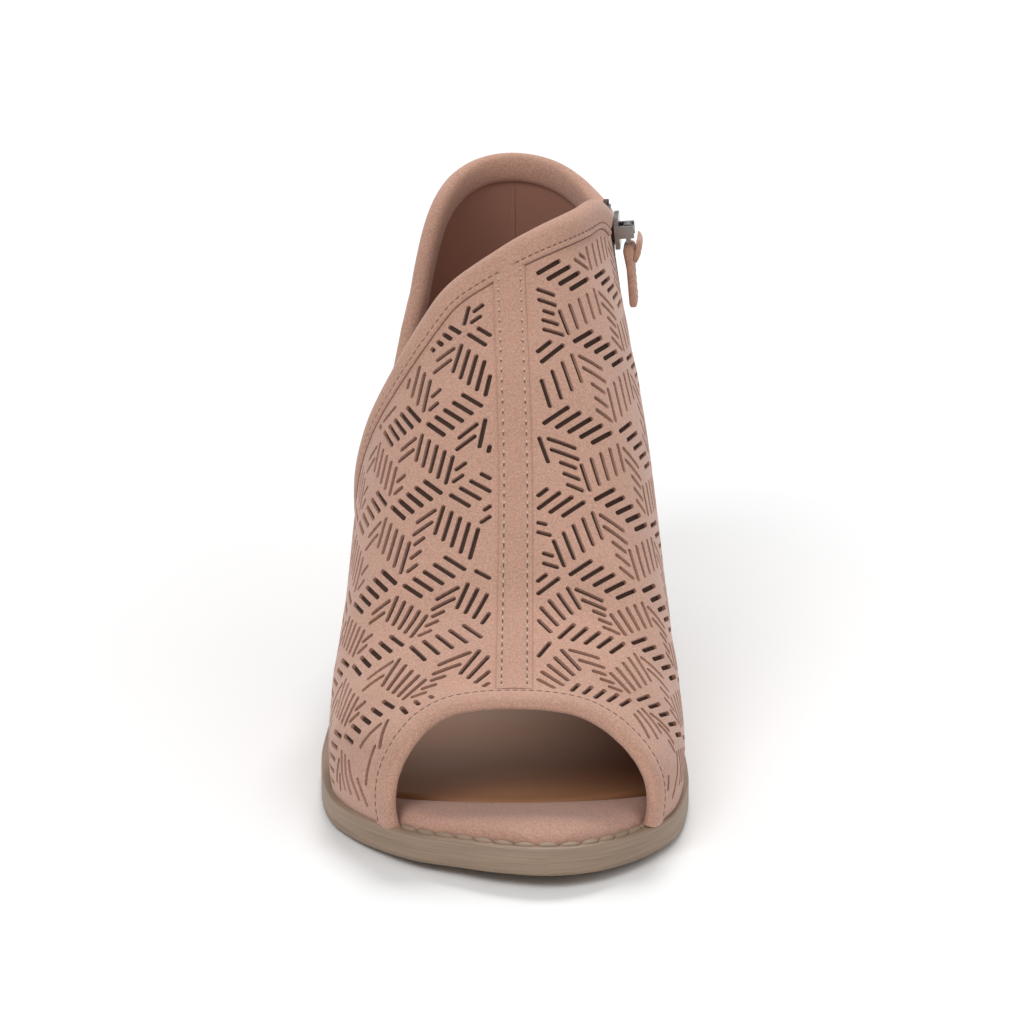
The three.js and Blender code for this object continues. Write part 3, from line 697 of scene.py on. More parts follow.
class FlatHalf:
    """One half of the form laid flat: rules square to the ridge, unrolled beside it in the side view."""

    def __init__(self, side, reach=112.0, rules=150, points=130):
        self.side = side
        middle = FORM[:, FORM.shape[1] // 2, 1:]
        ridge = resample(middle[: int(FLAT_ROWS * RINGS_PER_ROW)], rules)
        ridge = soften(ridge, 3)
        heading = unit(np.gradient(ridge, axis=0))
        square = np.column_stack([heading[:, 1], -heading[:, 0]])
        down = reach * np.linspace(0, 1, 260) ** 2.5
        flat, solid_points = [], []
        for start, normal in zip(ridge, square):
            rule = self.unroll(start, normal, down)
            wanted = np.linspace(0, reach, points)
            solid_points.append(read_off(wanted, rule[:, 3], rule[:, :3]))
            wanted = np.minimum(wanted, rule[-1, 3])
            flat.append(start + wanted[:, None] * normal)
        self.solid_points = np.concatenate(solid_points)
        self.lay_triangles(np.array(flat))

    def unroll(self, start, normal, down):
        rows = [(0.0, start[0], start[1], 0.0)]
        for depth in down[1:]:
            along, up = start + depth * normal
            origin = Vector((self.side * 2 * BALL_WIDTH, along, up))
            hit = FORM_TREE.ray_cast(origin, Vector((-self.side, 0, 0)))[0]
            if hit is None:
                if len(rows) > 40:
                    break
                continue
            last = rows[-1]
            step = math.dist((hit.x, along, up), last[:3])
            if step > 6 and len(rows) > 12:
                break
            rows.append((hit.x, along, up, last[3] + step))
        return np.array(rows)

    def lay_triangles(self, flat):
        rows, count = flat.shape[:2]
        self.triangles = []
        for i in range(rows - 1):
            for j in range(count - 1):
                a, b = i * count + j, i * count + j + 1
                c, d = a + count, b + count
                self.triangles += [(a, b, d), (a, d, c)]
        self.flat_points = np.column_stack([flat.reshape(-1, 2), np.zeros(rows * count)])
        self.flat_tree = BVHTree.FromPolygons([Vector(v) for v in self.flat_points], self.triangles)

    def to_solid(self, along, up):
        """The place on the form of a point of the layout, and how far the point lies outside the layout."""
        place, _, index, distance = self.flat_tree.find_nearest(Vector((along, up, 0)))
        corners = list(self.triangles[index])
        weights = corner_weights(np.array(place), self.flat_points[corners])
        return weights @ self.solid_points[corners], distance


def corner_weights(point, corners):
    """Shares of a triangle's corners in a point on it."""
    a, b = corners[1] - corners[0], corners[2] - corners[0]
    c = point - corners[0]
    aa, ab, bb, ca, cb = a @ a, a @ b, b @ b, c @ a, c @ b
    area = max(aa * bb - ab * ab, 1e-12)
    second, third = (bb * ca - ab * cb) / area, (aa * cb - ab * ca) / area
    weights = np.clip([1 - second - third, second, third], 0, 1)
    return weights / weights.sum()


# Sweeps along the edges


def edge_position(path, side, along):
    """Where an edge path passes a distance along the boot on one side, as a fractional index."""
    points = path.points
    count = len(points)
    for i in range(count):
        a, b = points[i], points[(i + 1) % count]
        if a[0] * side > 12 and (a[1] - along) * (b[1] - along) <= 0:
            return i + (along - a[1]) / (b[1] - a[1])
    raise ValueError("the edge does not pass there")


def part_of_edge(path, start, end, step=1.25):
    """Evenly spaced places between two fractional indices: points, away and outward directions."""
    count = len(path.points)
    wanted = np.linspace(start, end, 4 * int(abs(end - start)) + 2)
    rows = []
    for values in (path.points, path.away, path.outward):
        low = np.floor(wanted).astype(int)
        share = (wanted - low)[:, None]
        rows.append(values[low % count] * (1 - share) + values[(low + 1) % count] * share)
    length = np.sum(np.linalg.norm(np.diff(rows[0], axis=0), axis=1))
    spread = resample(np.column_stack(rows), int(length / step) + 2)
    return spread[:, :3], unit(spread[:, 3:6]), unit(spread[:, 6:9])


def band(places, profile):
    """Rings of a profile (aside, height) carried along an edge."""
    points, away, _ = places
    return [[on_form(p + a * w, h)[0] for w, h in profile] for p, a in zip(points, away)]


def edge_row(places, aside, height):
    """Points and outward directions of a row beside an edge."""
    points, away, _ = places
    return form_row(points + away * aside, height)


LOWEST = edge_position(TOPLINE_PATH, -1, TOPLINE_LOWEST * LENGTH)
ZIP_GAP = ZIP_WIDTH / 2 + 0.1
ZIP_REAR = edge_position(TOPLINE_PATH, 1, ZIP_TOP * LENGTH + ZIP_GAP)
ZIP_FRONT = edge_position(TOPLINE_PATH, 1, ZIP_TOP * LENGTH - ZIP_GAP)
FRONT_EDGE = part_of_edge(TOPLINE_PATH, ZIP_FRONT, TOPLINE_STEPS + LOWEST - 0.02)
REAR_EDGE = part_of_edge(TOPLINE_PATH, LOWEST + 0.02, ZIP_REAR)
TOE_EDGE = (PEEP_PATH.points, PEEP_PATH.away, PEEP_PATH.outward)
BACK_TOP = TOPLINE_PATH.points[np.argmax(TOPLINE_PATH.points[:, 1])][2]

# Profiles of the bound edges. Columns: away from the edge, height above the form
TOPLINE_PROFILE = [
    (7.05, -0.5), (7.0, 0.3), (6.75, 0.7), (6.3, 0.82), (5.9, 0.74), (5.6, 0.62), (5.3, 0.74), (4.7, 0.98),
    (3.8, 1.18), (2.6, 1.28), (1.5, 1.15), (0.6, 0.75), (0.0, 0.1), (-0.38, -0.7), (-0.45, -1.5), (-0.2, -2.3),
    (0.5, -3.0), (1.6, -3.4), (3.4, -3.55), (5.4, -3.35), (6.6, -2.95), (7.0, -2.4), (7.1, -1.9),
]
TOE_PROFILE = [
    (6.2, -0.4), (6.15, 0.3), (5.9, 0.6), (5.5, 0.66), (5.15, 0.55), (4.8, 0.66), (4.0, 0.85), (2.8, 0.92),
    (1.5, 0.8), (0.6, 0.45), (0.0, -0.1), (-0.25, -0.8), (-0.15, -1.5), (0.5, -2.1), (1.6, -2.45), (3.6, -2.5),
    (5.6, -2.35), (6.2, -1.5),
]


# Rows and cuts grown by node trees


class Tree:
    """A geometry node tree with named inputs."""

    def __init__(self, name, inputs):
        self.group = bpy.data.node_groups.new(name, "GeometryNodeTree")
        face = self.group.interface
        face.new_socket("Geometry", in_out="INPUT", socket_type="NodeSocketGeometry")
        for label, kind, value in inputs:
            socket = face.new_socket(label, in_out="INPUT", socket_type=kind)
            if value is not None:
                socket.default_value = value
            if kind == "NodeSocketFloat":
                socket.subtype = "DISTANCE"
        face.new_socket("Geometry", in_out="OUTPUT", socket_type="NodeSocketGeometry")
        self.start = self.add("NodeGroupInput")
        self.end = self.add("NodeGroupOutput")

    def add(self, kind, **settings):
        node = self.group.nodes.new(kind)
        for key, value in settings.items():
            setattr(node, key, value)
        return node

    def link(self, source, target):
        self.group.links.new(source, target)

    def attribute(self, name, kind="FLOAT_VECTOR"):
        node = self.add("GeometryNodeInputNamedAttribute", data_type=kind)
        node.inputs["Name"].default_value = name
        return node.outputs["Attribute"]

    def turned(self, outward, along):
        node = self.add("FunctionNodeAxesToRotation", primary_axis="Z", secondary_axis="X")
        self.link(outward, node.inputs["Primary Axis"])
        self.link(along, node.inputs["Secondary Axis"])
        return node.outputs["Rotation"]

    def close(self, geometry):
        """Ends the tree: instances made real, the material set."""
        real = self.add("GeometryNodeRealizeInstances")
        paint = self.add("GeometryNodeSetMaterial")
        self.link(geometry, real.inputs["Geometry"])
        self.link(real.outputs["Geometry"], paint.inputs["Geometry"])
        self.link(self.start.outputs["Material"], paint.inputs["Material"])
        self.link(paint.outputs["Geometry"], self.end.inputs["Geometry"])
        return self.group


def row_tree(name, block):
    """Beads or blocks at even distances along a line."""
    tree = Tree(name, [
        ("Spacing", "NodeSocketFloat", 0.00275),
        ("Size", "NodeSocketVector", (0.001, 0.0005, 0.0004)),
        ("Material", "NodeSocketMaterial", None),
    ])
    curve = tree.add("GeometryNodeMeshToCurve")
    spread = tree.add("GeometryNodeResampleCurve", mode="LENGTH")
    tree.link(tree.start.outputs["Geometry"], curve.inputs["Mesh"])
    tree.link(curve.outputs["Curve"], spread.inputs["Curve"])
    tree.link(tree.start.outputs["Spacing"], spread.inputs["Length"])
    if block:
        rough = tree.add("GeometryNodeMeshCube")
        rounded = tree.add("GeometryNodeSubdivisionSurface")
        rounded.inputs["Level"].default_value = 2
        rounded.inputs["Edge Crease"].default_value = 0.6
        tree.link(rough.outputs["Mesh"], rounded.inputs["Mesh"])
        shape = rounded.outputs["Mesh"]
    else:
        bead = tree.add("GeometryNodeMeshUVSphere")
        bead.inputs["Segments"].default_value = 10
        bead.inputs["Rings"].default_value = 6
        bead.inputs["Radius"].default_value = 0.5
        shape = bead.outputs["Mesh"]
    place = tree.add("GeometryNodeInstanceOnPoints")
    tangent = tree.add("GeometryNodeInputTangent")
    tree.link(spread.outputs["Curve"], place.inputs["Points"])
    tree.link(shape, place.inputs["Instance"])
    tree.link(tree.turned(tree.attribute("outward"), tangent.outputs["Tangent"]), place.inputs["Rotation"])
    tree.link(tree.start.outputs["Size"], place.inputs["Scale"])
    return tree.close(place.outputs["Instances"])


def thread_tree():
    """A round thread laid along a line; the painted shadow in the grooves beside the bindings is made of it."""
    tree = Tree("Thread along a line", [
        ("Radius", "NodeSocketFloat", 0.00025),
        ("Material", "NodeSocketMaterial", None),
    ])
    curve = tree.add("GeometryNodeMeshToCurve")
    ring = tree.add("GeometryNodeCurvePrimitiveCircle")
    ring.inputs["Resolution"].default_value = 8
    tube = tree.add("GeometryNodeCurveToMesh")
    tube.inputs["Fill Caps"].default_value = True
    tree.link(tree.start.outputs["Geometry"], curve.inputs["Mesh"])
    tree.link(curve.outputs["Curve"], tube.inputs["Curve"])
    tree.link(tree.start.outputs["Radius"], ring.inputs["Radius"])
    tree.link(ring.outputs["Curve"], tube.inputs["Profile Curve"])
    return tree.close(tube.outputs["Mesh"])


def slot_tree():
    """Round-ended slots cut through a wall at the points of another object."""
    tree = Tree("Perforations", [
        ("Slots", "NodeSocketObject", None),
        ("Width", "NodeSocketFloat", 0.0011),
        ("Depth", "NodeSocketFloat", 0.003),
        ("Material", "NodeSocketMaterial", None),
    ])
    source = tree.add("GeometryNodeObjectInfo")
    tree.link(tree.start.outputs["Slots"], source.inputs["Object"])
    punch = tree.add("GeometryNodeMeshCylinder")
    punch.inputs["Vertices"].default_value = 12
    radius = tree.add("ShaderNodeMath", operation="MULTIPLY")
    radius.inputs[1].default_value = 0.5
    tree.link(tree.start.outputs["Width"], radius.inputs[0])
    tree.link(radius.outputs[0], punch.inputs["Radius"])
    tree.link(tree.start.outputs["Depth"], punch.inputs["Depth"])
    turn = tree.add("GeometryNodeTransform")
    turn.inputs["Rotation"].default_value = (0, 0, math.radians(15))
    tree.link(punch.outputs["Mesh"], turn.inputs["Geometry"])
    position = tree.add("GeometryNodeInputPosition")
    parts = tree.add("ShaderNodeSeparateXYZ")
    sign = tree.add("ShaderNodeMath", operation="SIGN")
    keep = tree.add("GeometryNodeStoreNamedAttribute", data_type="FLOAT", domain="POINT")
    keep.inputs["Name"].default_value = "end"
    tree.link(position.outputs["Position"], parts.inputs["Vector"])
    tree.link(parts.outputs["X"], sign.inputs[0])
    tree.link(turn.outputs["Geometry"], keep.inputs["Geometry"])
    tree.link(sign.outputs[0], keep.inputs["Value"])
    place = tree.add("GeometryNodeInstanceOnPoints")
    tree.link(source.outputs["Geometry"], place.inputs["Points"])
    tree.link(keep.outputs["Geometry"], place.inputs["Instance"])
    tree.link(tree.turned(tree.attribute("outward"), tree.attribute("along")), place.inputs["Rotation"])
    real = tree.add("GeometryNodeRealizeInstances")
    tree.link(place.outputs["Instances"], real.inputs["Geometry"])
    pull = tree.add("ShaderNodeMath", operation="MULTIPLY")
    tree.link(tree.attribute("end", "FLOAT"), pull.inputs[0])
    tree.link(tree.attribute("reach", "FLOAT"), pull.inputs[1])
    offset = tree.add("ShaderNodeVectorMath", operation="SCALE")
    tree.link(tree.attribute("along"), offset.inputs["Vector"])
    tree.link(pull.outputs[0], offset.inputs["Scale"])
    stretch = tree.add("GeometryNodeSetPosition")
    tree.link(real.outputs["Geometry"], stretch.inputs["Geometry"])
    tree.link(offset.outputs["Vector"], stretch.inputs["Offset"])
    cut = tree.add("GeometryNodeMeshBoolean", operation="DIFFERENCE", solver="MANIFOLD")
    tree.link(tree.start.outputs["Geometry"], cut.inputs["Mesh 1"])
    tree.link(stretch.outputs["Geometry"], cut.inputs["Mesh 2"])
    return tree.close(cut.outputs["Mesh"])


def grow(obj, group, **values):
    """Runs a node tree on an object with these inputs and keeps the resulting mesh."""
    modifier = obj.modifiers.new("grow", "NODES")
    modifier.node_group = group
    for item in group.interface.items_tree:
        if item.in_out == "INPUT" and item.name in values:
            modifier[item.identifier] = values[item.name]
    obj.update_tag()
    settle(obj)
    return obj


def line_object(name, points, outward_directions):
    points = np.asarray(points, float)
    mesh = bpy.data.meshes.new(name)
    mesh.from_pydata(((points + SHIFT) * MM).tolist(), [(i, i + 1) for i in range(len(points) - 1)], [])
    set_field(mesh, "outward", "FLOAT_VECTOR", unit(outward_directions))
    obj = bpy.data.objects.new(name, mesh)
    bpy.context.scene.collection.objects.link(obj)
    return obj


def trimmed(points, directions, start, end=0.0):
    """A line with some length taken off its start and its end."""
    lengths = running_length(points)
    wanted = np.linspace(start, lengths[-1] - end, max(int(lengths[-1]), 8))
    both = read_off(wanted, lengths, np.column_stack([points, directions]))
    return both[:, :3], unit(both[:, 3:])


def stitch_row(name, line, spacing, size, material, start=0.8, end=0.8, body="boot", kind="bead"):
    """Stitches or blocks along a line, less some length at its start and its end."""
    obj = line_object(name, *trimmed(*line, start, end))
    grow(obj, TREES[kind], Spacing=spacing * MM, Size=[s * MM for s in size], Material=material)
    return finish_piece(obj, None, body, angle=60)


TREES = {}


# Materials


def shade_group(name, inputs, outputs):
    group = bpy.data.node_groups.new(name, "ShaderNodeTree")
    for label, kind, value in inputs:
        socket = group.interface.new_socket(label, in_out="INPUT", socket_type=kind)
        socket.default_value = value
    for label, kind in outputs:
        group.interface.new_socket(label, in_out="OUTPUT", socket_type=kind)
    return group, group.nodes.new("NodeGroupInput"), group.nodes.new("NodeGroupOutput")


def noise(nodes, scale, detail=4.0, roughness=0.55):
    node = nodes.new("ShaderNodeTexNoise")
    node.inputs["Scale"].default_value = scale
    node.inputs["Detail"].default_value = detail
    node.inputs["Roughness"].default_value = roughness
    return node


def spread_value(nodes, links, source, low, high, to_low, to_high):
    node = nodes.new("ShaderNodeMapRange")
    for key, value in (("From Min", low), ("From Max", high), ("To Min", to_low), ("To Max", to_high)):
        node.inputs[key].default_value = value
    links.new(source, node.inputs["Value"])
    return node.outputs["Result"]


def tone_group():
    """Soft drift of a colour between a darker and a lighter tone, with fine flecks."""
    group, start, end = shade_group("Tone drift", [
        ("Vector", "NodeSocketVector", (0, 0, 0)), ("Colour", "NodeSocketColor", (0.5, 0.5, 0.5, 1)),
        ("Drift", "NodeSocketFloat", 0.12), ("Fleck", "NodeSocketFloat", 0.08),
        ("Patch", "NodeSocketFloat", 45.0), ("Grain", "NodeSocketFloat", 1600.0),
    ], [("Colour", "NodeSocketColor"), ("Mask", "NodeSocketFloat")])
    nodes, links = group.nodes, group.links
    wide, fine = noise(nodes, 45, 3), noise(nodes, 1600, 2)
    for node, key in ((wide, "Patch"), (fine, "Grain")):
        links.new(start.outputs["Vector"], node.inputs["Vector"])
        links.new(start.outputs[key], node.inputs["Scale"])
    total = None
    for node, key in ((wide, "Drift"), (fine, "Fleck")):
        centred = nodes.new("ShaderNodeMath")
        centred.operation = "SUBTRACT"
        centred.inputs[1].default_value = 0.5
        links.new(node.outputs["Fac"], centred.inputs[0])
        scaled = nodes.new("ShaderNodeMath")
        scaled.operation = "MULTIPLY_ADD"
        links.new(centred.outputs[0], scaled.inputs[0])
        links.new(start.outputs[key], scaled.inputs[1])
        scaled.inputs[2].default_value = 1.0 if total is None else 0.0
        if total is not None:
            links.new(total, scaled.inputs[2])
        total = scaled.outputs[0]
    tint = nodes.new("ShaderNodeVectorMath")
    tint.operation = "SCALE"
    links.new(start.outputs["Colour"], tint.inputs["Vector"])
    links.new(total, tint.inputs["Scale"])
    links.new(tint.outputs["Vector"], end.inputs["Colour"])
    links.new(wide.outputs["Fac"], end.inputs["Mask"])
    return group


def grain_group():
    """Height of a napped or grained surface."""
    group, start, end = shade_group("Surface grain", [
        ("Vector", "NodeSocketVector", (0, 0, 0)), ("Fine", "NodeSocketFloat", 2600.0),
        ("Coarse", "NodeSocketFloat", 420.0), ("Coarse share", "NodeSocketFloat", 0.4),
    ], [("Height", "NodeSocketFloat")])
    nodes, links = group.nodes, group.links
    fine, coarse = noise(nodes, 2600, 3, 0.7), noise(nodes, 420, 3)
    for node, key in ((fine, "Fine"), (coarse, "Coarse")):
        links.new(start.outputs["Vector"], node.inputs["Vector"])
        links.new(start.outputs[key], node.inputs["Scale"])
    mix = nodes.new("ShaderNodeMix")
    links.new(start.outputs["Coarse share"], mix.inputs[0])
    links.new(fine.outputs["Fac"], mix.inputs[2])
    links.new(coarse.outputs["Fac"], mix.inputs[3])
    links.new(mix.outputs[0], end.inputs["Height"])
    return group


def base_material(name, colour, roughness, **scalars):
    material = bpy.data.materials.new(name)
    material.use_nodes = True
    shader = material.node_tree.nodes["Principled BSDF"]
    shader.inputs["Base Color"].default_value = (*colour, 1)
    shader.inputs["Roughness"].default_value = roughness
    for key, value in scalars.items():
        shader.inputs[key.replace("_", " ")].default_value = value
    return material, material.node_tree.nodes, material.node_tree.links, shader


def add_bump(nodes, links, shader, height, strength, depth):
    """Lets a height roughen the surface, to a depth in millimetres."""
    raised = nodes.new("ShaderNodeBump")
    raised.inputs["Strength"].default_value = strength
    raised.inputs["Distance"].default_value = depth * MM
    links.new(height, raised.inputs["Height"])
    links.new(raised.outputs["Normal"], shader.inputs["Normal"])


def two_tones(nodes, links, shader, source, colour, *stops):
    """Colours the surface between two stops, each a position and a share of the colour."""
    ramp = nodes.new("ShaderNodeValToRGB")
    for element, (position, share) in zip(ramp.color_ramp.elements, stops):
        element.position = position
        element.color = (*(min(share * c, 1) for c in colour), 1)
    links.new(source, ramp.inputs["Fac"])
    links.new(ramp.outputs["Color"], shader.inputs["Base Color"])


def dress(name, colour, roughness, drift=0.12, fleck=0.08, patch=45.0, grain=1600.0, fine=2600.0, coarse=420.0,
          share=0.4, bump=0.25, depth=0.1, stretch=(1, 1, 1), **scalars):
    """A material whose colour drifts and whose surface has grain."""
    material, nodes, links, shader = base_material(name, colour, roughness, **scalars)
    place = nodes.new("ShaderNodeTexCoord")
    mapping = nodes.new("ShaderNodeMapping")
    mapping.inputs["Scale"].default_value = stretch
    links.new(place.outputs["Object"], mapping.inputs["Vector"])
    tone = nodes.new("ShaderNodeGroup")
    tone.node_tree = GROUPS["tone"]
    tone.inputs["Colour"].default_value = (*colour, 1)
    for key, value in (("Drift", drift), ("Fleck", fleck), ("Patch", patch), ("Grain", grain)):
        tone.inputs[key].default_value = value
    surface = nodes.new("ShaderNodeGroup")
    surface.node_tree = GROUPS["grain"]
    for key, value in (("Fine", fine), ("Coarse", coarse), ("Coarse share", share)):
        surface.inputs[key].default_value = value
    links.new(mapping.outputs["Vector"], tone.inputs["Vector"])
    links.new(mapping.outputs["Vector"], surface.inputs["Vector"])
    links.new(tone.outputs["Colour"], shader.inputs["Base Color"])
    add_bump(nodes, links, shader, surface.outputs["Height"], bump, depth)
    limits = (roughness - 0.04, min(roughness + 0.04, 1))
    links.new(spread_value(nodes, links, tone.outputs["Mask"], 0.3, 0.7, *limits), shader.inputs["Roughness"])
    return material


def stacked_material(name, colour, attribute_based):
    """Thin layers one on the other, as fine streaks of darker and lighter tone."""
    material, nodes, links, shader = base_material(name, colour, 0.52)
    if attribute_based:
        level, around = nodes.new("ShaderNodeAttribute"), nodes.new("ShaderNodeAttribute")
        level.attribute_name, around.attribute_name = "level", "around"
        vector = nodes.new("ShaderNodeCombineXYZ")
        links.new(around.outputs["Fac"], vector.inputs["X"])
        links.new(level.outputs["Fac"], vector.inputs["Y"])
        source, scale = vector.outputs["Vector"], (0.035, 1.9, 1)
    else:
        place = nodes.new("ShaderNodeTexCoord")
        source, scale = place.outputs["Object"], (28, 28, 1900)
    mapping = nodes.new("ShaderNodeMapping")
    mapping.inputs["Scale"].default_value = scale
    links.new(source, mapping.inputs["Vector"])
    streak = noise(nodes, 1.0, 3, 0.6)
    links.new(mapping.outputs["Vector"], streak.inputs["Vector"])
    two_tones(nodes, links, shader, streak.outputs["Fac"], colour, (0.36, 0.8), (0.62, 1.07))
    add_bump(nodes, links, shader, streak.outputs["Fac"], 0.22, 0.08)
    wear = spread_value(nodes, links, streak.outputs["Fac"], 0.3, 0.7, 0.6, 0.45)
    links.new(wear, shader.inputs["Roughness"])
    return material


def woven_material(name, colour):
    """A close plain weave."""
    material, nodes, links, shader = base_material(name, colour, 0.85)
    place = nodes.new("ShaderNodeTexCoord")
    heights = []
    for direction in ("Y", "Z"):
        wave = nodes.new("ShaderNodeTexWave")
        wave.bands_direction = direction
        wave.inputs["Scale"].default_value = 620
        wave.inputs["Distortion"].default_value = 0.6
        links.new(place.outputs["Object"], wave.inputs["Vector"])
        heights.append(wave.outputs["Fac"])
    weave = nodes.new("ShaderNodeMath")
    weave.operation = "MAXIMUM"
    links.new(heights[0], weave.inputs[0])
    links.new(heights[1], weave.inputs[1])
    two_tones(nodes, links, shader, weave.outputs[0], colour, (0.0, 0.5), (1.0, 1.25))
    add_bump(nodes, links, shader, weave.outputs[0], 0.5, 0.1)
    return material


GROUPS = {}
FINISHES = {}


def make_finishes(colours):
    GROUPS["tone"] = tone_group()
    GROUPS["grain"] = grain_group()
    suede = dict(drift=0.24, fleck=0.9, patch=42.0, grain=2100.0, bump=0.6, depth=0.14, fine=2600.0,
                 Sheen_Weight=0.25, Sheen_Roughness=0.5, Specular_IOR_Level=0.2)
    thread = dict(drift=0.1, fine=4000.0)
    FINISHES["suede"] = dress("Napped_suede", colours.suede, 0.94, **suede)
    FINISHES["binding"] = dress("Binding_suede", colours.binding, 0.92, **suede)
    FINISHES["insole"] = dress("Insole_suede", colours.insole, 0.94, **suede)
    FINISHES["lining"] = dress("Lining_leather", colours.lining, 0.8, drift=0.14, fleck=0.08, fine=1400.0,
                               coarse=260.0, bump=0.25, depth=0.1)
    # Near-black backing: its own cloth colour darkened with painted shade of the slots
    FINISHES["backing"] = dress("Lining_backing", colours.backing, 0.9, drift=0.3, fleck=0.3, bump=0.4)
    FINISHES["footbed"] = dress("Footbed_leather", colours.footbed, 0.6, drift=0.2, fleck=0.1, fine=1500.0,
                                coarse=300.0, bump=0.35, depth=0.12)
    FINISHES["rubber"] = dress("Lift_rubber", colours.rubber, 0.7, drift=0.15, fleck=0.2, fine=1800.0,
                               bump=0.3)
    FINISHES["thread"] = dress("Pale_thread", colours.thread, 0.7, fleck=0.3, bump=0.5, **thread)
    # Painted shade of the strip's stitch holes
    FINISHES["stitch_hole_shadow"] = dress("Dark_thread", colours.stitch_hole_shadow, 0.75, fleck=0.3, **thread)
    FINISHES["tone_thread"] = dress("Matching_thread", colours.tone_thread, 0.75, fleck=0.2, **thread)
    # Painted shadow: the dark matching-thread tone on thin tubes stands for the shade in the grooves under the
    # bindings
    FINISHES["groove"] = dress("Groove_dye", colours.tone_thread, 0.95, drift=0.2, fleck=0.4, bump=0.4)
    FINISHES["teeth"] = dress("Zip_teeth", colours.zip_tape, 0.4, drift=0.2, fleck=0.1, bump=0.2)
    FINISHES["metal"] = dress("Silver_metal", colours.metal, 0.24, drift=0.08, fleck=0.04, patch=300.0,
                              fine=5000.0, coarse=900.0, bump=0.12, depth=0.03, stretch=(1, 1, 0.15),
                              Metallic=1.0)
    FINISHES["tape"] = woven_material("Zip_tape_weave", colours.zip_tape)
    FINISHES["sole"] = stacked_material("Stacked_sole", colours.sole, True)
    FINISHES["welt"] = dress("Welt_board", colours.sole, 0.6, drift=0.1, fleck=0.1, bump=0.2)
    FINISHES["heel"] = stacked_material("Stacked_heel", colours.sole, False)
    TREES["bead"] = row_tree("Stitches along a line", False)
    TREES["block"] = row_tree("Teeth along a line", True)
    TREES["thread"] = thread_tree()
    TREES["slots"] = slot_tree()


# Pieces


def wall_layer(name, outside, inside, seat):
    """A layer of the wall, cut off at the topline, the toe's edge, the zip and the sole."""
    layer = shell(name, outside, inside)
    under, setback = seat
    cutters = [above_topline(under), before_peep(setback), zip_band(), below_sole_top()]
    carve(layer, *(("DIFFERENCE", cutter) for cutter in cutters))
    drop(*cutters)
    return layer


def make_upper(sizes):
    upper = wall_layer("Upper_suede", 0.0, -OUTER_LAYER, SUEDE_SEAT)
    slots = slot_points()
    grow(upper, TREES["slots"], Slots=slots, Width=sizes.slot_width, Depth=SLOT_CUT_DEPTH * MM,
         Material=FINISHES["suede"])
    drop(slots)
    finish_piece(upper, FINISHES["suede"], replaces=["upper"], angle=35)


def make_lining():
    lining = wall_layer("Lining", -OUTER_LAYER - LAYER_GAP, -WALL, LINING_SEAT)
    finish_piece(lining, FINISHES["lining"], angle=35)
    # Outer faces of the lining, seen only through the perforations, take the backing: cloth colour darkened with
    # painted shade of the slots
    lining.data.materials.append(FINISHES["backing"])
    for face in lining.data.polygons:
        place = np.array(face.center) / MM - SHIFT
        face.material_index = int(on_form(place)[1] @ np.array(face.normal) > 0.3)


def slot_allowed(point):
    """True where a slot may be cut through the upper."""
    x, along, up = point
    side = 1 if x > 0 else -1
    if abs(x - STRIP_MIDDLES[1] / 2) < SLOT_MARGIN_RIDGE or up < sole_top(along) + SLOT_MARGIN_SOLE:
        return False
    if np.linalg.norm(TOPLINE_PATH.points - point, axis=1).min() < SLOT_MARGIN_TOPLINE:
        return False
    if np.linalg.norm(PEEP_PATH.points - point, axis=1).min() < SLOT_MARGIN_TOE or along < peep_along(up) + 4:
        return False
    if side < 0:
        return along < SLOT_LAST_OUTER
    direction = unit(ZIP_HIGH - ZIP_LOW)
    square = np.array([direction[1], -direction[0]])
    return (np.array([along, up]) - ZIP_LOW) @ square < -SLOT_MARGIN_ZIP


def layout_place(side, counts):
    """A point of the flat layout from counts of groups towards the ridge and up it."""
    a, b = counts
    bent_a, bent_b = (reach * math.tanh(n / reach) for n, reach in zip(counts, SLOT_BEND))
    return np.array([1, a, b, bent_a * bent_a, bent_a * bent_b, bent_b * bent_b]) @ SLOT_LAYOUT[side]


def allowed_run(half, middle, run):
    """The longest stretch of a slot that may be cut, as its two ends on the form."""
    shares = np.linspace(-0.5, 0.5, 25)
    places = [half.to_solid(*layout_place(half.side, middle + run * share)) for share in shares]
    best = (0, 0)
    first = None
    for i, place in enumerate([*places, None]):
        fits = place is not None and place[1] < 0.4 and slot_allowed(place[0])
        if fits and first is None:
            first = i
        if not fits and first is not None:
            if i - 1 - first > best[1] - best[0]:
                best = (first, i - 1)
            first = None
    return [places[k][0] for k in best]


def clear_slots(rows):
    """The slots that keep clear of one another: one too near an earlier one is shortened or left out."""
    shares = np.linspace(0, 1, 12)[:, None]
    kept, taken = [], []
    for a, b in rows:
        middle = (a + b) / 2
        for scale in (1.0, 0.85, 0.7, 0.55, 0.4):
            first, last = middle + (a - middle) * scale, middle + (b - middle) * scale
            if np.linalg.norm(last - first) < SHORTEST_SLOT:
                break
            line = first + (last - first) * shares
            near = [other for other in taken if np.linalg.norm(other[6] - middle) < 14]
            gaps = [np.linalg.norm(line[:, None] - other[None], axis=2).min() for other in near]
            if not gaps or min(gaps) > SLOT_CLEARANCE:
                kept.append((first, last))
                taken.append(line)
                break
    return kept


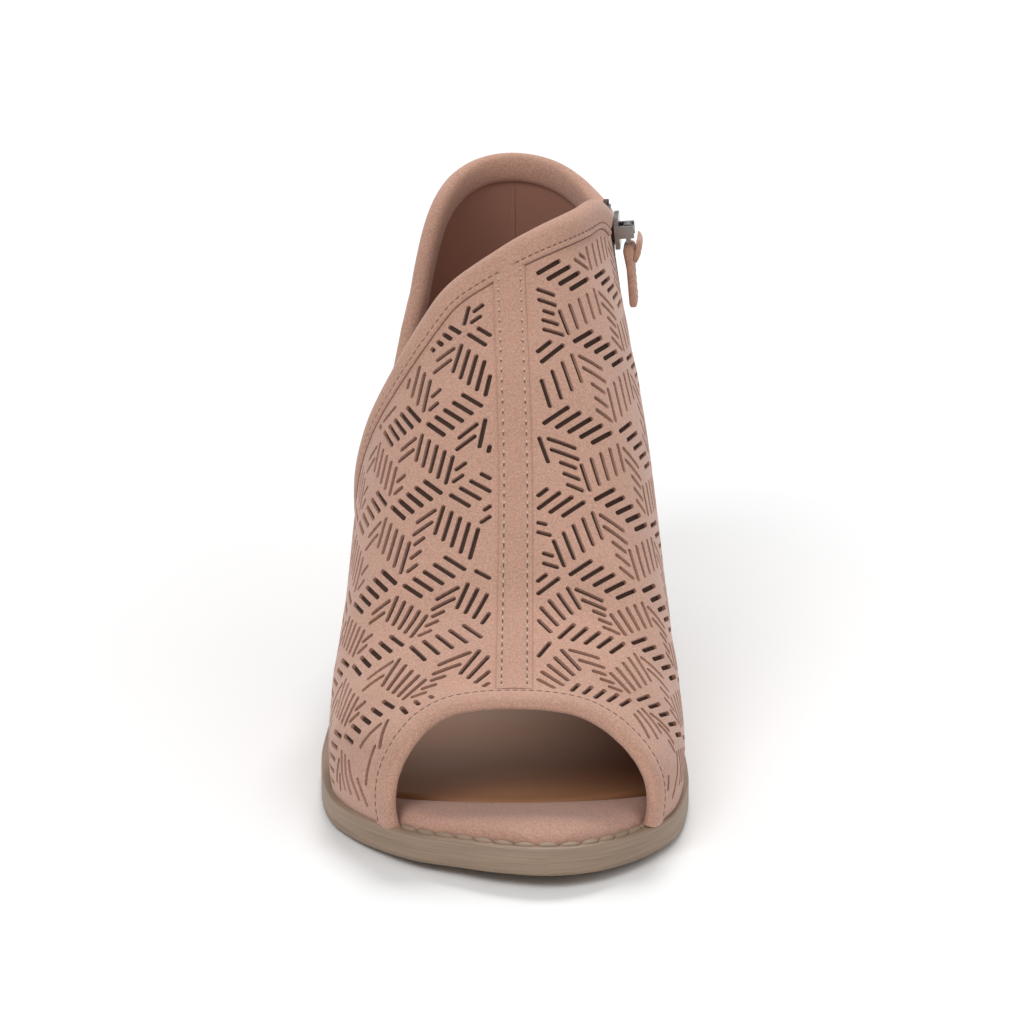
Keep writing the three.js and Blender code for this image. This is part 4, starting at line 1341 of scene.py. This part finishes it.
def slot_points():
    """A mesh with a point for each perforation: its direction, its outward direction and its half length."""
    rows = []
    for side in (-1, 1):
        half = FlatHalf(side)
        for counts in np.stack(np.meshgrid(np.arange(-5, 6), np.arange(-4, 7)), -1).reshape(-1, 2):
            for middle, run, step in SLOT_GROUPS:
                if half.to_solid(*layout_place(side, counts + middle))[1] > 12:
                    continue
                for k in range(SLOTS_IN_GROUP):
                    place = counts + middle + step * (k - (SLOTS_IN_GROUP - 1) / 2)
                    rows.append(allowed_run(half, place, run))
    points, along, out, reach = [], [], [], []
    for a, b in clear_slots(rows):
        length = np.linalg.norm(b - a)
        place, normal = on_form((a + b) / 2)
        direction = (b - a) / length
        points.append(place)
        along.append(unit(direction - normal * (normal @ direction)))
        out.append(normal)
        reach.append(length / 2)
    obj = new_mesh("slot_points", points, [])
    set_field(obj.data, "along", "FLOAT_VECTOR", along)
    set_field(obj.data, "outward", "FLOAT_VECTOR", out)
    set_field(obj.data, "reach", "FLOAT", np.array(reach) * MM)
    return obj


def make_bindings():
    for name, places, node in (("Topline_binding_front", FRONT_EDGE, "topline_binding_front"),
                               ("Topline_binding_rear", REAR_EDGE, "topline_binding_back")):
        binding = solid(name, loft(band(places, TOPLINE_PROFILE)))
        finish_piece(binding, FINISHES["binding"], replaces=[node], angle=70)
    binding = solid("Toe_binding", loft(band(TOE_EDGE, TOE_PROFILE)))
    finish_piece(binding, FINISHES["binding"], replaces=["toe_binding"], angle=70)


# The strip at its lower end, its middle and its upper end: half widths, and how far it lies inwards
STRIP_HALVES = (4.45, 4.1, 3.95)
STRIP_MIDDLES = (0.5, 0.9, -0.8)
STRIP_STITCH = 0.69
# Columns: across, in half widths, and height above the form
STRIP_PROFILE = [
    (-1.0, -0.4), (-1.0, 0.3), (-0.97, 0.56), (-0.91, 0.7), (-0.82, 0.74), (-0.74, 0.66), (-0.69, 0.6),
    (-0.64, 0.66), (-0.58, 0.78), (-0.35, 0.84), (0.0, 0.86), (0.35, 0.84), (0.58, 0.78), (0.64, 0.66),
    (0.69, 0.6), (0.74, 0.66), (0.82, 0.74), (0.91, 0.7), (0.97, 0.56), (1.0, 0.3), (1.0, -0.4),
]


def ridge_line():
    """The middle line of the form between the toe binding and the topline binding."""
    ridge = FORM[:, FORM.shape[1] // 2]
    lengths = running_length(ridge)
    toe = PEEP_PATH.points[np.argmin(abs(PEEP_PATH.points[:, 0]))]
    ends = [lengths[np.argmin(np.linalg.norm(ridge - p, axis=1))] for p in (toe, TOPLINE_PATH.points[0])]
    wanted = np.linspace(ends[0] + TOE_BINDING_WIDTH - 0.3, ends[1] - BINDING_WIDTH + 0.2, 110)
    return read_off(wanted, lengths, ridge)


def make_strip(sizes):
    line = ridge_line()
    share = np.linspace(0, 1, len(line))
    half = monotone(np.array([0, 0.5, 1]), np.array(STRIP_HALVES))(share)
    middle = monotone(np.array([0, 0.5, 1]), np.array(STRIP_MIDDLES))(share)

    def across(t, height):
        return form_row([p + np.array([m + t * h, 0, 0]) for p, h, m in zip(line, half, middle)], height)

    rings = np.stack([across(t, h)[0] for t, h in STRIP_PROFILE], 1)
    strip = solid("Vamp_strip", loft(rings))
    finish_piece(strip, FINISHES["binding"], replaces=["vamp_strip"], angle=70)
    pitch = sizes.stitch_spacing / MM
    for name, t in (("outer", -STRIP_STITCH), ("inner", STRIP_STITCH)):
        for title, height, size, finish, start in (
            ("Strip_stitches_", 0.66, (0.85, 0.55, 0.35), "thread", 1.4),
            # Dark blocks between the stitches: painted shade of the holes over the thread sunk in them
            ("Strip_stitch_holes_", 0.6, (1.5, 0.45, 0.3), "stitch_hole_shadow", 1.4 + pitch / 2),
        ):
            stitch_row(title + name, across(t, height), pitch, size, FINISHES[finish], start=start)


def make_seams(sizes):
    pitch = sizes.seam_spacing / MM
    thread = FINISHES["tone_thread"]
    size = (0.7 * pitch, 0.4, 0.35)
    stitch_row("Topline_stitches_front", edge_row(FRONT_EDGE, *TOPLINE_STITCH), pitch, size, thread)
    stitch_row("Topline_stitches_rear", edge_row(REAR_EDGE, *TOPLINE_STITCH), pitch, size, thread)
    stitch_row("Toe_binding_stitches", edge_row(TOE_EDGE, *TOE_STITCH), pitch, size, thread, start=2.5, end=2.5)
    # Thin dark tubes along the lower edges of the bindings paint the shadow in the grooves there
    for name, places, aside in (("topline_front", FRONT_EDGE, TOPLINE_GROOVE),
                                ("topline_rear", REAR_EDGE, TOPLINE_GROOVE), ("toe", TOE_EDGE, TOE_GROOVE)):
        groove = line_object("Groove_" + name, *trimmed(*edge_row(places, aside, 0.0), 0.3, 0.3))
        grow(groove, TREES["thread"], Radius=GROOVE_SHADOW_RADIUS * MM, Material=FINISHES["groove"])
        finish_piece(groove, None, angle=60)
    bottom = TOPLINE_PATH.points[int(round(LOWEST)) % TOPLINE_STEPS]
    foot = float(sole_top(bottom[1] + 5)) + 0.6
    for name, offset in (("front", -1.2), ("rear", 1.2)):
        ups = np.linspace(bottom[2] - BINDING_WIDTH - 0.6, foot, 24)
        start = bottom[1] + 1.5 + offset
        row = form_row([(-60, start + 0.1 * (bottom[2] - u), u) for u in ups], 0.02)
        stitch_row("Side_seam_stitches_" + name, row, pitch, size, thread)
    for name, x in (("outer", -1.4), ("inner", 1.4)):
        ups = np.linspace(BACK_TOP - BINDING_WIDTH - 0.8, float(sole_top(LENGTH - 3)) + 1.5, 30)
        row = form_row([(x, LENGTH + 20, u) for u in ups], 0.02)
        stitch_row("Back_seam_stitches_" + name, row, pitch, size, thread)


def make_back_tape():
    """The narrow tape over the seam inside the back."""
    ups = np.linspace(BACK_TOP - 6.0, float(sole_top(LENGTH - 4)) + FOOTBED_THICKNESS + 1, 40)
    profile = [(-3.0, -1.9), (-3.0, -2.1), (-2.7, -2.25), (-0.5, -2.3), (0, -2.18), (0.5, -2.3), (2.7, -2.25),
               (3.0, -2.1), (3.0, -1.9)]
    rings = [[on_form((x, LENGTH + 20, u), h)[0] for x, h in profile] for u in ups]
    tape = solid("Back_seam_tape", loft(rings))
    finish_piece(tape, FINISHES["lining"], angle=50)


def make_outsole():
    shares = (1 - np.cos(np.linspace(0, math.pi, 150))) / 2
    edge = [(1.1, 0.0), (0.5, 0.12), (0.12, 0.5), (0.0, 1.1), (0.0, 2.2), (0.0, 3.3)]
    layers = [(inset, "low", 0.0) for inset in (43.5, 36, 28, 20, 12, 5, 2)]
    layers += [(inset, "low", height) for inset, height in edge]
    layers += [(0.0, "high", 0.9), (0.1, "high", 0.4), (0.35, "high", 0.1), (0.8, "high", 0.0)]
    layers += [(inset, "high", 0.0) for inset in (2, 5, 12, 20, 28, 36, 43.5)]
    rings, levels = [], []
    for inset, base, height in layers:
        along = inset + (LENGTH - 2 * inset) * shares
        up = sole_bottom(along) + height if base == "low" else sole_top(along) - height
        halves = [np.column_stack([inset_outline(side, along, inset, inset), along, up]) for side in (0, 1)]
        ring = np.concatenate([halves[0], halves[1][::-1][1:-1]])
        rings.append(ring)
        levels.append(ring[:, 2] - sole_bottom(ring[:, 1]))
    verts, faces = loft(rings, caps=False)
    count = len(rings[0])
    for row in (0, len(rings) - 1):
        start = row * count
        for i in range(len(shares) - 1):
            a, b = start + i, start + i + 1
            c, d = start + (count - i) % count, start + count - i - 1
            quad = [a, b, d] if c == a else [a, b, d, c] if b != d else [a, b, c]
            faces.append(tuple(quad[::-1] if row == 0 else quad))
    outsole = new_mesh("Outsole", verts, faces)
    face_outwards(outsole)
    set_field(outsole.data, "level", "FLOAT", np.concatenate(levels))
    set_field(outsole.data, "around", "FLOAT", np.tile(running_length(rings[10]), len(rings)))
    finish_piece(outsole, FINISHES["sole"], replaces=["outsole"], angle=50)


def face_outwards(obj):
    bm = bmesh.new()
    bm.from_mesh(obj.data)
    bmesh.ops.recalc_face_normals(bm, faces=bm.faces)
    bm.to_mesh(obj.data)
    bm.free()


def pad_rings(front, rear, inset, thickness, rounding, shift, crown):
    """Cross rings of a flat pad on the sole: a rounded rim, a crowned top, its ends bent by a shift."""
    ends = np.array([0, 0.04, 0.2, 0.5, 0.9, 1.5, 2.3, 3.4])
    middle = np.linspace(front + 5, rear - 5, max(int((rear - front) / 2.2), 4))
    stations = np.concatenate([front + ends, middle, (rear - ends)[::-1]])
    across = np.sin(np.linspace(-math.pi / 2, math.pi / 2, 45))
    rings = []
    for station in stations:
        low, high = (float(inset_outline(side, station, inset, inset)) for side in (0, 1))
        x = (low + high) / 2 + (high - low) / 2 * across
        away = np.minimum((high - low) / 2 * (1 - abs(across)), min(station - front, rear - station))
        share = np.clip(away / rounding, 0, 1)
        rim = thickness * np.sqrt(np.clip(1 - (1 - share) ** 2, 0, 1))
        height = rim + crown * (1 - across ** 2) * ease(away / 10)
        along = station + shift(x, station)
        top = np.column_stack([x, along, sole_top(along) + height])
        bottom = np.column_stack([x, along, sole_top(along) - 0.3])[::-1]
        rings.append(np.concatenate([top, bottom]))
    return rings


INSOLE_END = 37.6
FOOTBED_INSET = 3.6


def back_curve(x):
    return 9.2 * np.clip(1 - (np.abs(x) / 31) ** 2, -0.4, 1)


def insole_shift(x, station):
    return -back_curve(x) * np.clip((station - INSOLE_START) / (INSOLE_END - INSOLE_START), 0, 1) ** 3


def footbed_shift(x, station):
    return -back_curve(x) * (1 - np.clip((station - INSOLE_END) / 60, 0, 1)) ** 2


def make_insoles(sizes):
    rings = pad_rings(INSOLE_START, INSOLE_END, INSOLE_INSET, INSOLE_THICKNESS - 0.7, 6.0, insole_shift, 0.9)
    insole = solid("Insole_front", loft(rings))
    finish_piece(insole, FINISHES["insole"], replaces=["insole_front"], angle=70)
    rings = pad_rings(INSOLE_END + 1.4, LENGTH - FOOTBED_INSET, FOOTBED_INSET, FOOTBED_THICKNESS - 0.1, 1.4,
                      footbed_shift, 0.2)
    footbed = solid("Footbed", loft(rings))
    finish_piece(footbed, FINISHES["footbed"], replaces=["footbed"], angle=70)
    pitch = sizes.scallop_spacing / MM
    stitch_row("Welt_scallops", scallop_line(), pitch, (1.02 * pitch, 2.4, 1.5), FINISHES["welt"],
               0, 0)


def scallop_line():
    """The line of the scalloped welt in front of the insole and the toe binding."""
    shares = (1 - np.cos(np.linspace(0, math.pi / 2, 400))) / 2
    along = INSOLE_INSET + (LENGTH - 2 * INSOLE_INSET) * shares
    along = along[along < 27]
    inset = INSOLE_INSET - 0.5
    halves = [np.column_stack([inset_outline(side, along, inset, inset), along]) for side in (0, 1)]
    rim = np.concatenate([halves[0][::-1], halves[1][1:]])
    points = np.column_stack([rim, sole_top(rim[:, 1]) + 0.1])
    return points, np.tile([0, 0, 1.0], (len(points), 1))


def zip_line(count=60):
    direction = ZIP_HIGH - ZIP_LOW
    run = np.linalg.norm(direction)
    shares = np.linspace(0.5 / run, 1 + 3.2 / run, count)
    hits = []
    for share in shares:
        along, up = ZIP_LOW + direction * share
        hits.append(FORM_TREE.ray_cast(Vector((2 * BALL_WIDTH, along, up)), Vector((-1, 0, 0)))[0])
    places, normals = form_row(hits)
    points = soften(places, 2)
    outward_directions = unit(soften(normals, 6))
    tangent = unit(np.gradient(points, axis=0))
    return points, unit(np.cross(outward_directions, tangent)), outward_directions


# Columns: across the zip, height above the form
TAPE_PROFILE = [
    (-3.45, -1.9), (-3.45, -0.75), (-3.3, -0.6), (-1.9, -0.55), (-1.7, -0.75), (1.7, -0.75), (1.9, -0.55),
    (3.3, -0.6), (3.45, -0.75), (3.45, -1.9),
]
TOOTH_SIZE = (0.85, 3.1, 0.9)


def make_zip(sizes):
    points, away, out = zip_line()
    rings = [[p + a * w + o * h for w, h in TAPE_PROFILE] for p, a, o in zip(points, away, out)]
    zip_tape = solid("Zip_tape", loft(rings))
    finish_piece(zip_tape, FINISHES["tape"], replaces=["zip_tape"], angle=50)
    teeth = (points - out * 0.35, out)
    stitch_row("Zip_teeth", teeth, sizes.tooth_spacing / MM, TOOTH_SIZE, FINISHES["teeth"], 1.0,
               1.0, kind="block")
    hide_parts("zip_chain")


# The slider's pin in the row frame, in millimetres, and the slider's own directions
SLIDER_PIN = np.array([31.348, 58.769, 113.770])
SLIDER_OUT = np.array([0.99346, -0.08412, 0.07717])
SLIDER_DOWN = np.array([0.08424, 0.08398, -0.99290])
SLIDER_ACROSS = np.array([0.07704, 0.99291, 0.09051])
TAB_START, TAB_END = 3.6, 20.5
TAB_HALF_WIDTH = 3.5
# Layers of the tab. Columns: how far its outline is drawn in, height
TAB_LAYERS = [
    (0.75, -0.95), (0.3, -0.82), (0.05, -0.6), (0.0, -0.3), (0.0, 0.3), (0.05, 0.6), (0.3, 0.82), (0.75, 0.95),
]


def tab_loop(inset, corner=1.9):
    """A rounded rectangle in the tab's own plane: across, down."""
    half, low, high = TAB_HALF_WIDTH - inset, TAB_START + inset, TAB_END - inset
    radius = max(corner - inset, 0.3)
    points = []
    for x, y, start in ((half, high, 0), (-half, high, 90), (-half, low, 180), (half, low, 270)):
        for angle in np.radians(np.linspace(start, start + 90, 8)):
            centre = (x - math.copysign(radius, x), y - radius if y == high else y + radius)
            points.append((centre[0] + radius * math.cos(angle), centre[1] + radius * math.sin(angle)))
    return resample(np.array([*points, points[0]]), 97)[:-1]


def tab_place(across, down, height):
    swell = 1 + 0.55 * math.exp(-((down - TAB_START - 1.4) / 1.6) ** 2)
    place = SLIDER_PIN + SLIDER_ACROSS * across + SLIDER_DOWN * down + SLIDER_OUT * height * swell
    return place - SHIFT


FLAP_FLAT, FLAP_MIDDLE = 2.8, 2.1
FLAP_ACROSS = (-3.3, -3.15, -FLAP_FLAT, FLAP_FLAT, 3.15, 3.3)
# The flap of the pull over the ring. Columns: down from the pin, out from it
FLAP_PROFILE = [
    (1.7, 2.35), (1.75, 2.7), (2.1, 3.0), (2.9, 3.3), (4.2, 3.4), (5.8, 3.0), (7.2, 2.3), (7.9, 1.6),
    (7.6, 1.0), (6.6, 0.9), (5.4, 1.3), (4.2, 2.0), (3.0, 2.2), (2.1, 2.2),
]


def flap_place(across, down, height):
    """A place on the flap, which is rounded off at its two sides."""
    near = max(abs(across) - FLAP_FLAT, 0) / (FLAP_ACROSS[-1] - FLAP_FLAT)
    height = FLAP_MIDDLE + (height - FLAP_MIDDLE) * (1 - 0.45 * near * near)
    return SLIDER_PIN + SLIDER_ACROSS * across + SLIDER_DOWN * down + SLIDER_OUT * height - SHIFT


def make_pull(sizes):
    rings = [[tab_place(x, y, height) for x, y in tab_loop(inset)] for inset, height in TAB_LAYERS]
    tab = solid("Zip_pull_tab", loft(rings))
    finish_piece(tab, FINISHES["binding"], "pull", replaces=["zip_pull_tab"], angle=70)
    flap = solid("Pull_tab_flap", loft([[flap_place(x, y, h) for y, h in FLAP_PROFILE] for x in FLAP_ACROSS]))
    finish_piece(flap, FINISHES["binding"], "pull", angle=70)
    loop = np.array([tab_place(x, y, 0.93) for x, y in tab_loop(1.15)])
    row = np.concatenate([loop, loop[:1]]), np.tile(SLIDER_OUT, (len(loop) + 1, 1))
    stitch_row("Pull_tab_stitches", row, sizes.seam_spacing / MM, (1.1, 0.35, 0.25), FINISHES["tone_thread"],
               body="pull")


def dress_hard_parts():
    for node, material in (("zip_slider", "metal"), ("zip_pull_link", "metal"), ("heel_block", "heel"),
                           ("heel_top_lift", "rubber")):
        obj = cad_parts[node]
        obj.data.materials.clear()
        obj.data.materials.append(FINISHES[material])


# Settings, operators and the panel


class BootSizes(bpy.types.PropertyGroup):
    slot_width: bpy.props.FloatProperty(
        name="Perforation width", description="Width of one cut slot", default=0.00125, unit="LENGTH")
    stitch_spacing: bpy.props.FloatProperty(
        name="Strip stitch", description="From stitch to stitch on the vamp strip", default=0.00275, unit="LENGTH")
    seam_spacing: bpy.props.FloatProperty(
        name="Seam stitch", description="From stitch to stitch on bindings and seams", default=0.0019, unit="LENGTH")
    scallop_spacing: bpy.props.FloatProperty(
        name="Scallop", description="Width of one thread scallop on the insole", default=0.005, unit="LENGTH")
    tooth_spacing: bpy.props.FloatProperty(
        name="Zip tooth", description="From tooth to tooth of the zip", default=0.00145, unit="LENGTH")


def colour_setting(label, description, default):
    return bpy.props.FloatVectorProperty(name=label, description=description, default=default, size=3,
                                         subtype="COLOR", min=0, max=1)


class BootColours(bpy.types.PropertyGroup):
    suede: colour_setting("Suede", "Napped suede of the upper", (0.54, 0.315, 0.235))
    binding: colour_setting("Binding", "Suede of the bound edges and the strip", (0.52, 0.30, 0.222))
    insole: colour_setting("Insole", "Suede of the front insole", (0.50, 0.29, 0.22))
    lining: colour_setting("Lining", "Lining inside the upper", (0.34, 0.165, 0.115))
    backing: colour_setting("Backing and slot shade", "Cloth seen through the perforations", (0.075, 0.042, 0.03))
    footbed: colour_setting("Footbed", "Leather under the foot", (0.34, 0.155, 0.07))
    sole: colour_setting("Sole", "Stacked sole and heel", (0.33, 0.232, 0.162))
    rubber: colour_setting("Heel lift", "Rubber under the heel", (0.05, 0.04, 0.035))
    thread: colour_setting("Pale thread", "Thread of the strip", (0.62, 0.47, 0.38))
    # Painted shade: dark blocks between the pale strip stitches stand for the thread sunk in the shade of its holes
    stitch_hole_shadow: colour_setting("Stitch hole shadow", "Holes and thread between the stitches", (0.16, 0.08, 0.055))
    # This colour also paints the shadow in the grooves beside the bindings
    tone_thread: colour_setting("Matching thread", "Thread of the bindings and seams", (0.20, 0.11, 0.085))
    zip_tape: colour_setting("Zip", "Tape and teeth of the zip", (0.06, 0.035, 0.03))
    metal: colour_setting("Metal", "Slider and ring", (0.33, 0.32, 0.31))
    floor: colour_setting("Floor", "Studio floor", (0.93, 0.93, 0.93))


class BOOT_OT_finishes(bpy.types.Operator):
    """Builds the materials and the node trees."""
    bl_idname = "boot.finishes"
    bl_label = "Finishes"

    def execute(self, context):
        make_finishes(context.scene.boot_colours)
        return {"FINISHED"}


class BOOT_OT_upper(bpy.types.Operator):
    """Builds the perforated suede upper and its lining."""
    bl_idname = "boot.upper"
    bl_label = "Upper"

    def execute(self, context):
        make_upper(context.scene.boot_sizes)
        make_lining()
        make_back_tape()
        return {"FINISHED"}


class BOOT_OT_edges(bpy.types.Operator):
    """Builds the bound topline and peep toe, the vamp strip and the seams."""
    bl_idname = "boot.edges"
    bl_label = "Bound edges"

    def execute(self, context):
        make_bindings()
        make_strip(context.scene.boot_sizes)
        make_seams(context.scene.boot_sizes)
        return {"FINISHED"}


class BOOT_OT_bottom(bpy.types.Operator):
    """Builds the sole, the insoles and the finish of the heel."""
    bl_idname = "boot.bottom"
    bl_label = "Sole and insoles"

    def execute(self, context):
        make_outsole()
        make_insoles(context.scene.boot_sizes)
        dress_hard_parts()
        return {"FINISHED"}


class BOOT_OT_zip(bpy.types.Operator):
    """Builds the zip and its pull."""
    bl_idname = "boot.zip"
    bl_label = "Zip"

    def execute(self, context):
        make_zip(context.scene.boot_sizes)
        make_pull(context.scene.boot_sizes)
        return {"FINISHED"}


# The studio, in metres. Columns of the lights: name, place, aim, size, power
LIGHTS = (
    ("Key_light", (-0.7, -1.2, 1.6), (0, 0, 0.04), 1.2, 16),
    ("Fill_light", (1.2, -1.0, 1.2), (0, 0, 0.04), 1.4, 5),
    ("Rear_light", (0.15, 1.0, 1.5), (0, 0, 0.02), 0.7, 17),
)
AIR_STRENGTH = 0.38
FLOOR_REACH = 6.0
CAMERA_PLACE = (0.00188, -1.6072, 0.5796)
CAMERA_TILT = 72
CAMERA_LENS = 239.06
CAMERA_SENSOR = 36


def add_light(name, place, target, size, power):
    light = bpy.data.lights.new(name, "AREA")
    light.shape = "DISK"
    light.size = size
    light.energy = power
    obj = bpy.data.objects.new(name, light)
    obj.location = place
    obj.rotation_euler = (Vector(target) - Vector(place)).to_track_quat("-Z", "Y").to_euler()
    bpy.context.scene.collection.objects.link(obj)


class BOOT_OT_studio(bpy.types.Operator):
    """Builds the floor, the light and the camera."""
    bl_idname = "boot.studio"
    bl_label = "Studio"

    def execute(self, context):
        reach = FLOOR_REACH / MM
        corners = [(-reach, -reach, 0), (reach, -reach, 0), (reach, reach, 0), (-reach, reach, 0)]
        floor = new_mesh("Studio_floor", corners, [(0, 1, 2, 3)], shift=False)
        floor.data.materials.append(
            dress("Floor_paint", context.scene.boot_colours.floor, 0.9, drift=0.01, fleck=0.01, bump=0.02))
        world = bpy.data.worlds.new("Studio_air")
        world.use_nodes = True
        world.node_tree.nodes["Background"].inputs["Color"].default_value = (1, 1, 1, 1)
        world.node_tree.nodes["Background"].inputs["Strength"].default_value = AIR_STRENGTH
        context.scene.world = world
        for row in LIGHTS:
            add_light(*row)
        camera = bpy.data.cameras.new("Camera")
        camera.lens = CAMERA_LENS
        camera.sensor_width = CAMERA_SENSOR
        camera.clip_end = 50
        view = bpy.data.objects.new("Camera", camera)
        view.location = CAMERA_PLACE
        view.rotation_euler = (math.radians(CAMERA_TILT), 0, 0)
        context.scene.collection.objects.link(view)
        context.scene.camera = view
        context.scene.view_settings.view_transform = "Standard"
        return {"FINISHED"}


class BOOT_PT_panel(bpy.types.Panel):
    bl_idname = "BOOT_PT_panel"
    bl_label = "Boot"
    bl_space_type = "VIEW_3D"
    bl_region_type = "UI"
    bl_category = "Boot"

    def draw(self, context):
        for group in (context.scene.boot_sizes, context.scene.boot_colours):
            for key in group.__annotations__:
                self.layout.prop(group, key)
        for operator in OPERATORS:
            self.layout.operator(operator.bl_idname)


OPERATORS = (BOOT_OT_finishes, BOOT_OT_upper, BOOT_OT_edges, BOOT_OT_bottom, BOOT_OT_zip, BOOT_OT_studio)
CLASSES = (BootSizes, BootColours, *OPERATORS, BOOT_PT_panel)


def register():
    for item in CLASSES:
        bpy.utils.register_class(item)
    bpy.types.Scene.boot_sizes = bpy.props.PointerProperty(type=BootSizes)
    bpy.types.Scene.boot_colours = bpy.props.PointerProperty(type=BootColours)


def unregister():
    del bpy.types.Scene.boot_colours
    del bpy.types.Scene.boot_sizes
    for item in reversed(CLASSES):
        bpy.utils.unregister_class(item)


def main():
    register()
    bpy.ops.boot.finishes()
    bpy.ops.boot.upper()
    bpy.ops.boot.edges()
    bpy.ops.boot.bottom()
    bpy.ops.boot.zip()
    bpy.ops.boot.studio()


if __name__ == "__main__":
    main()
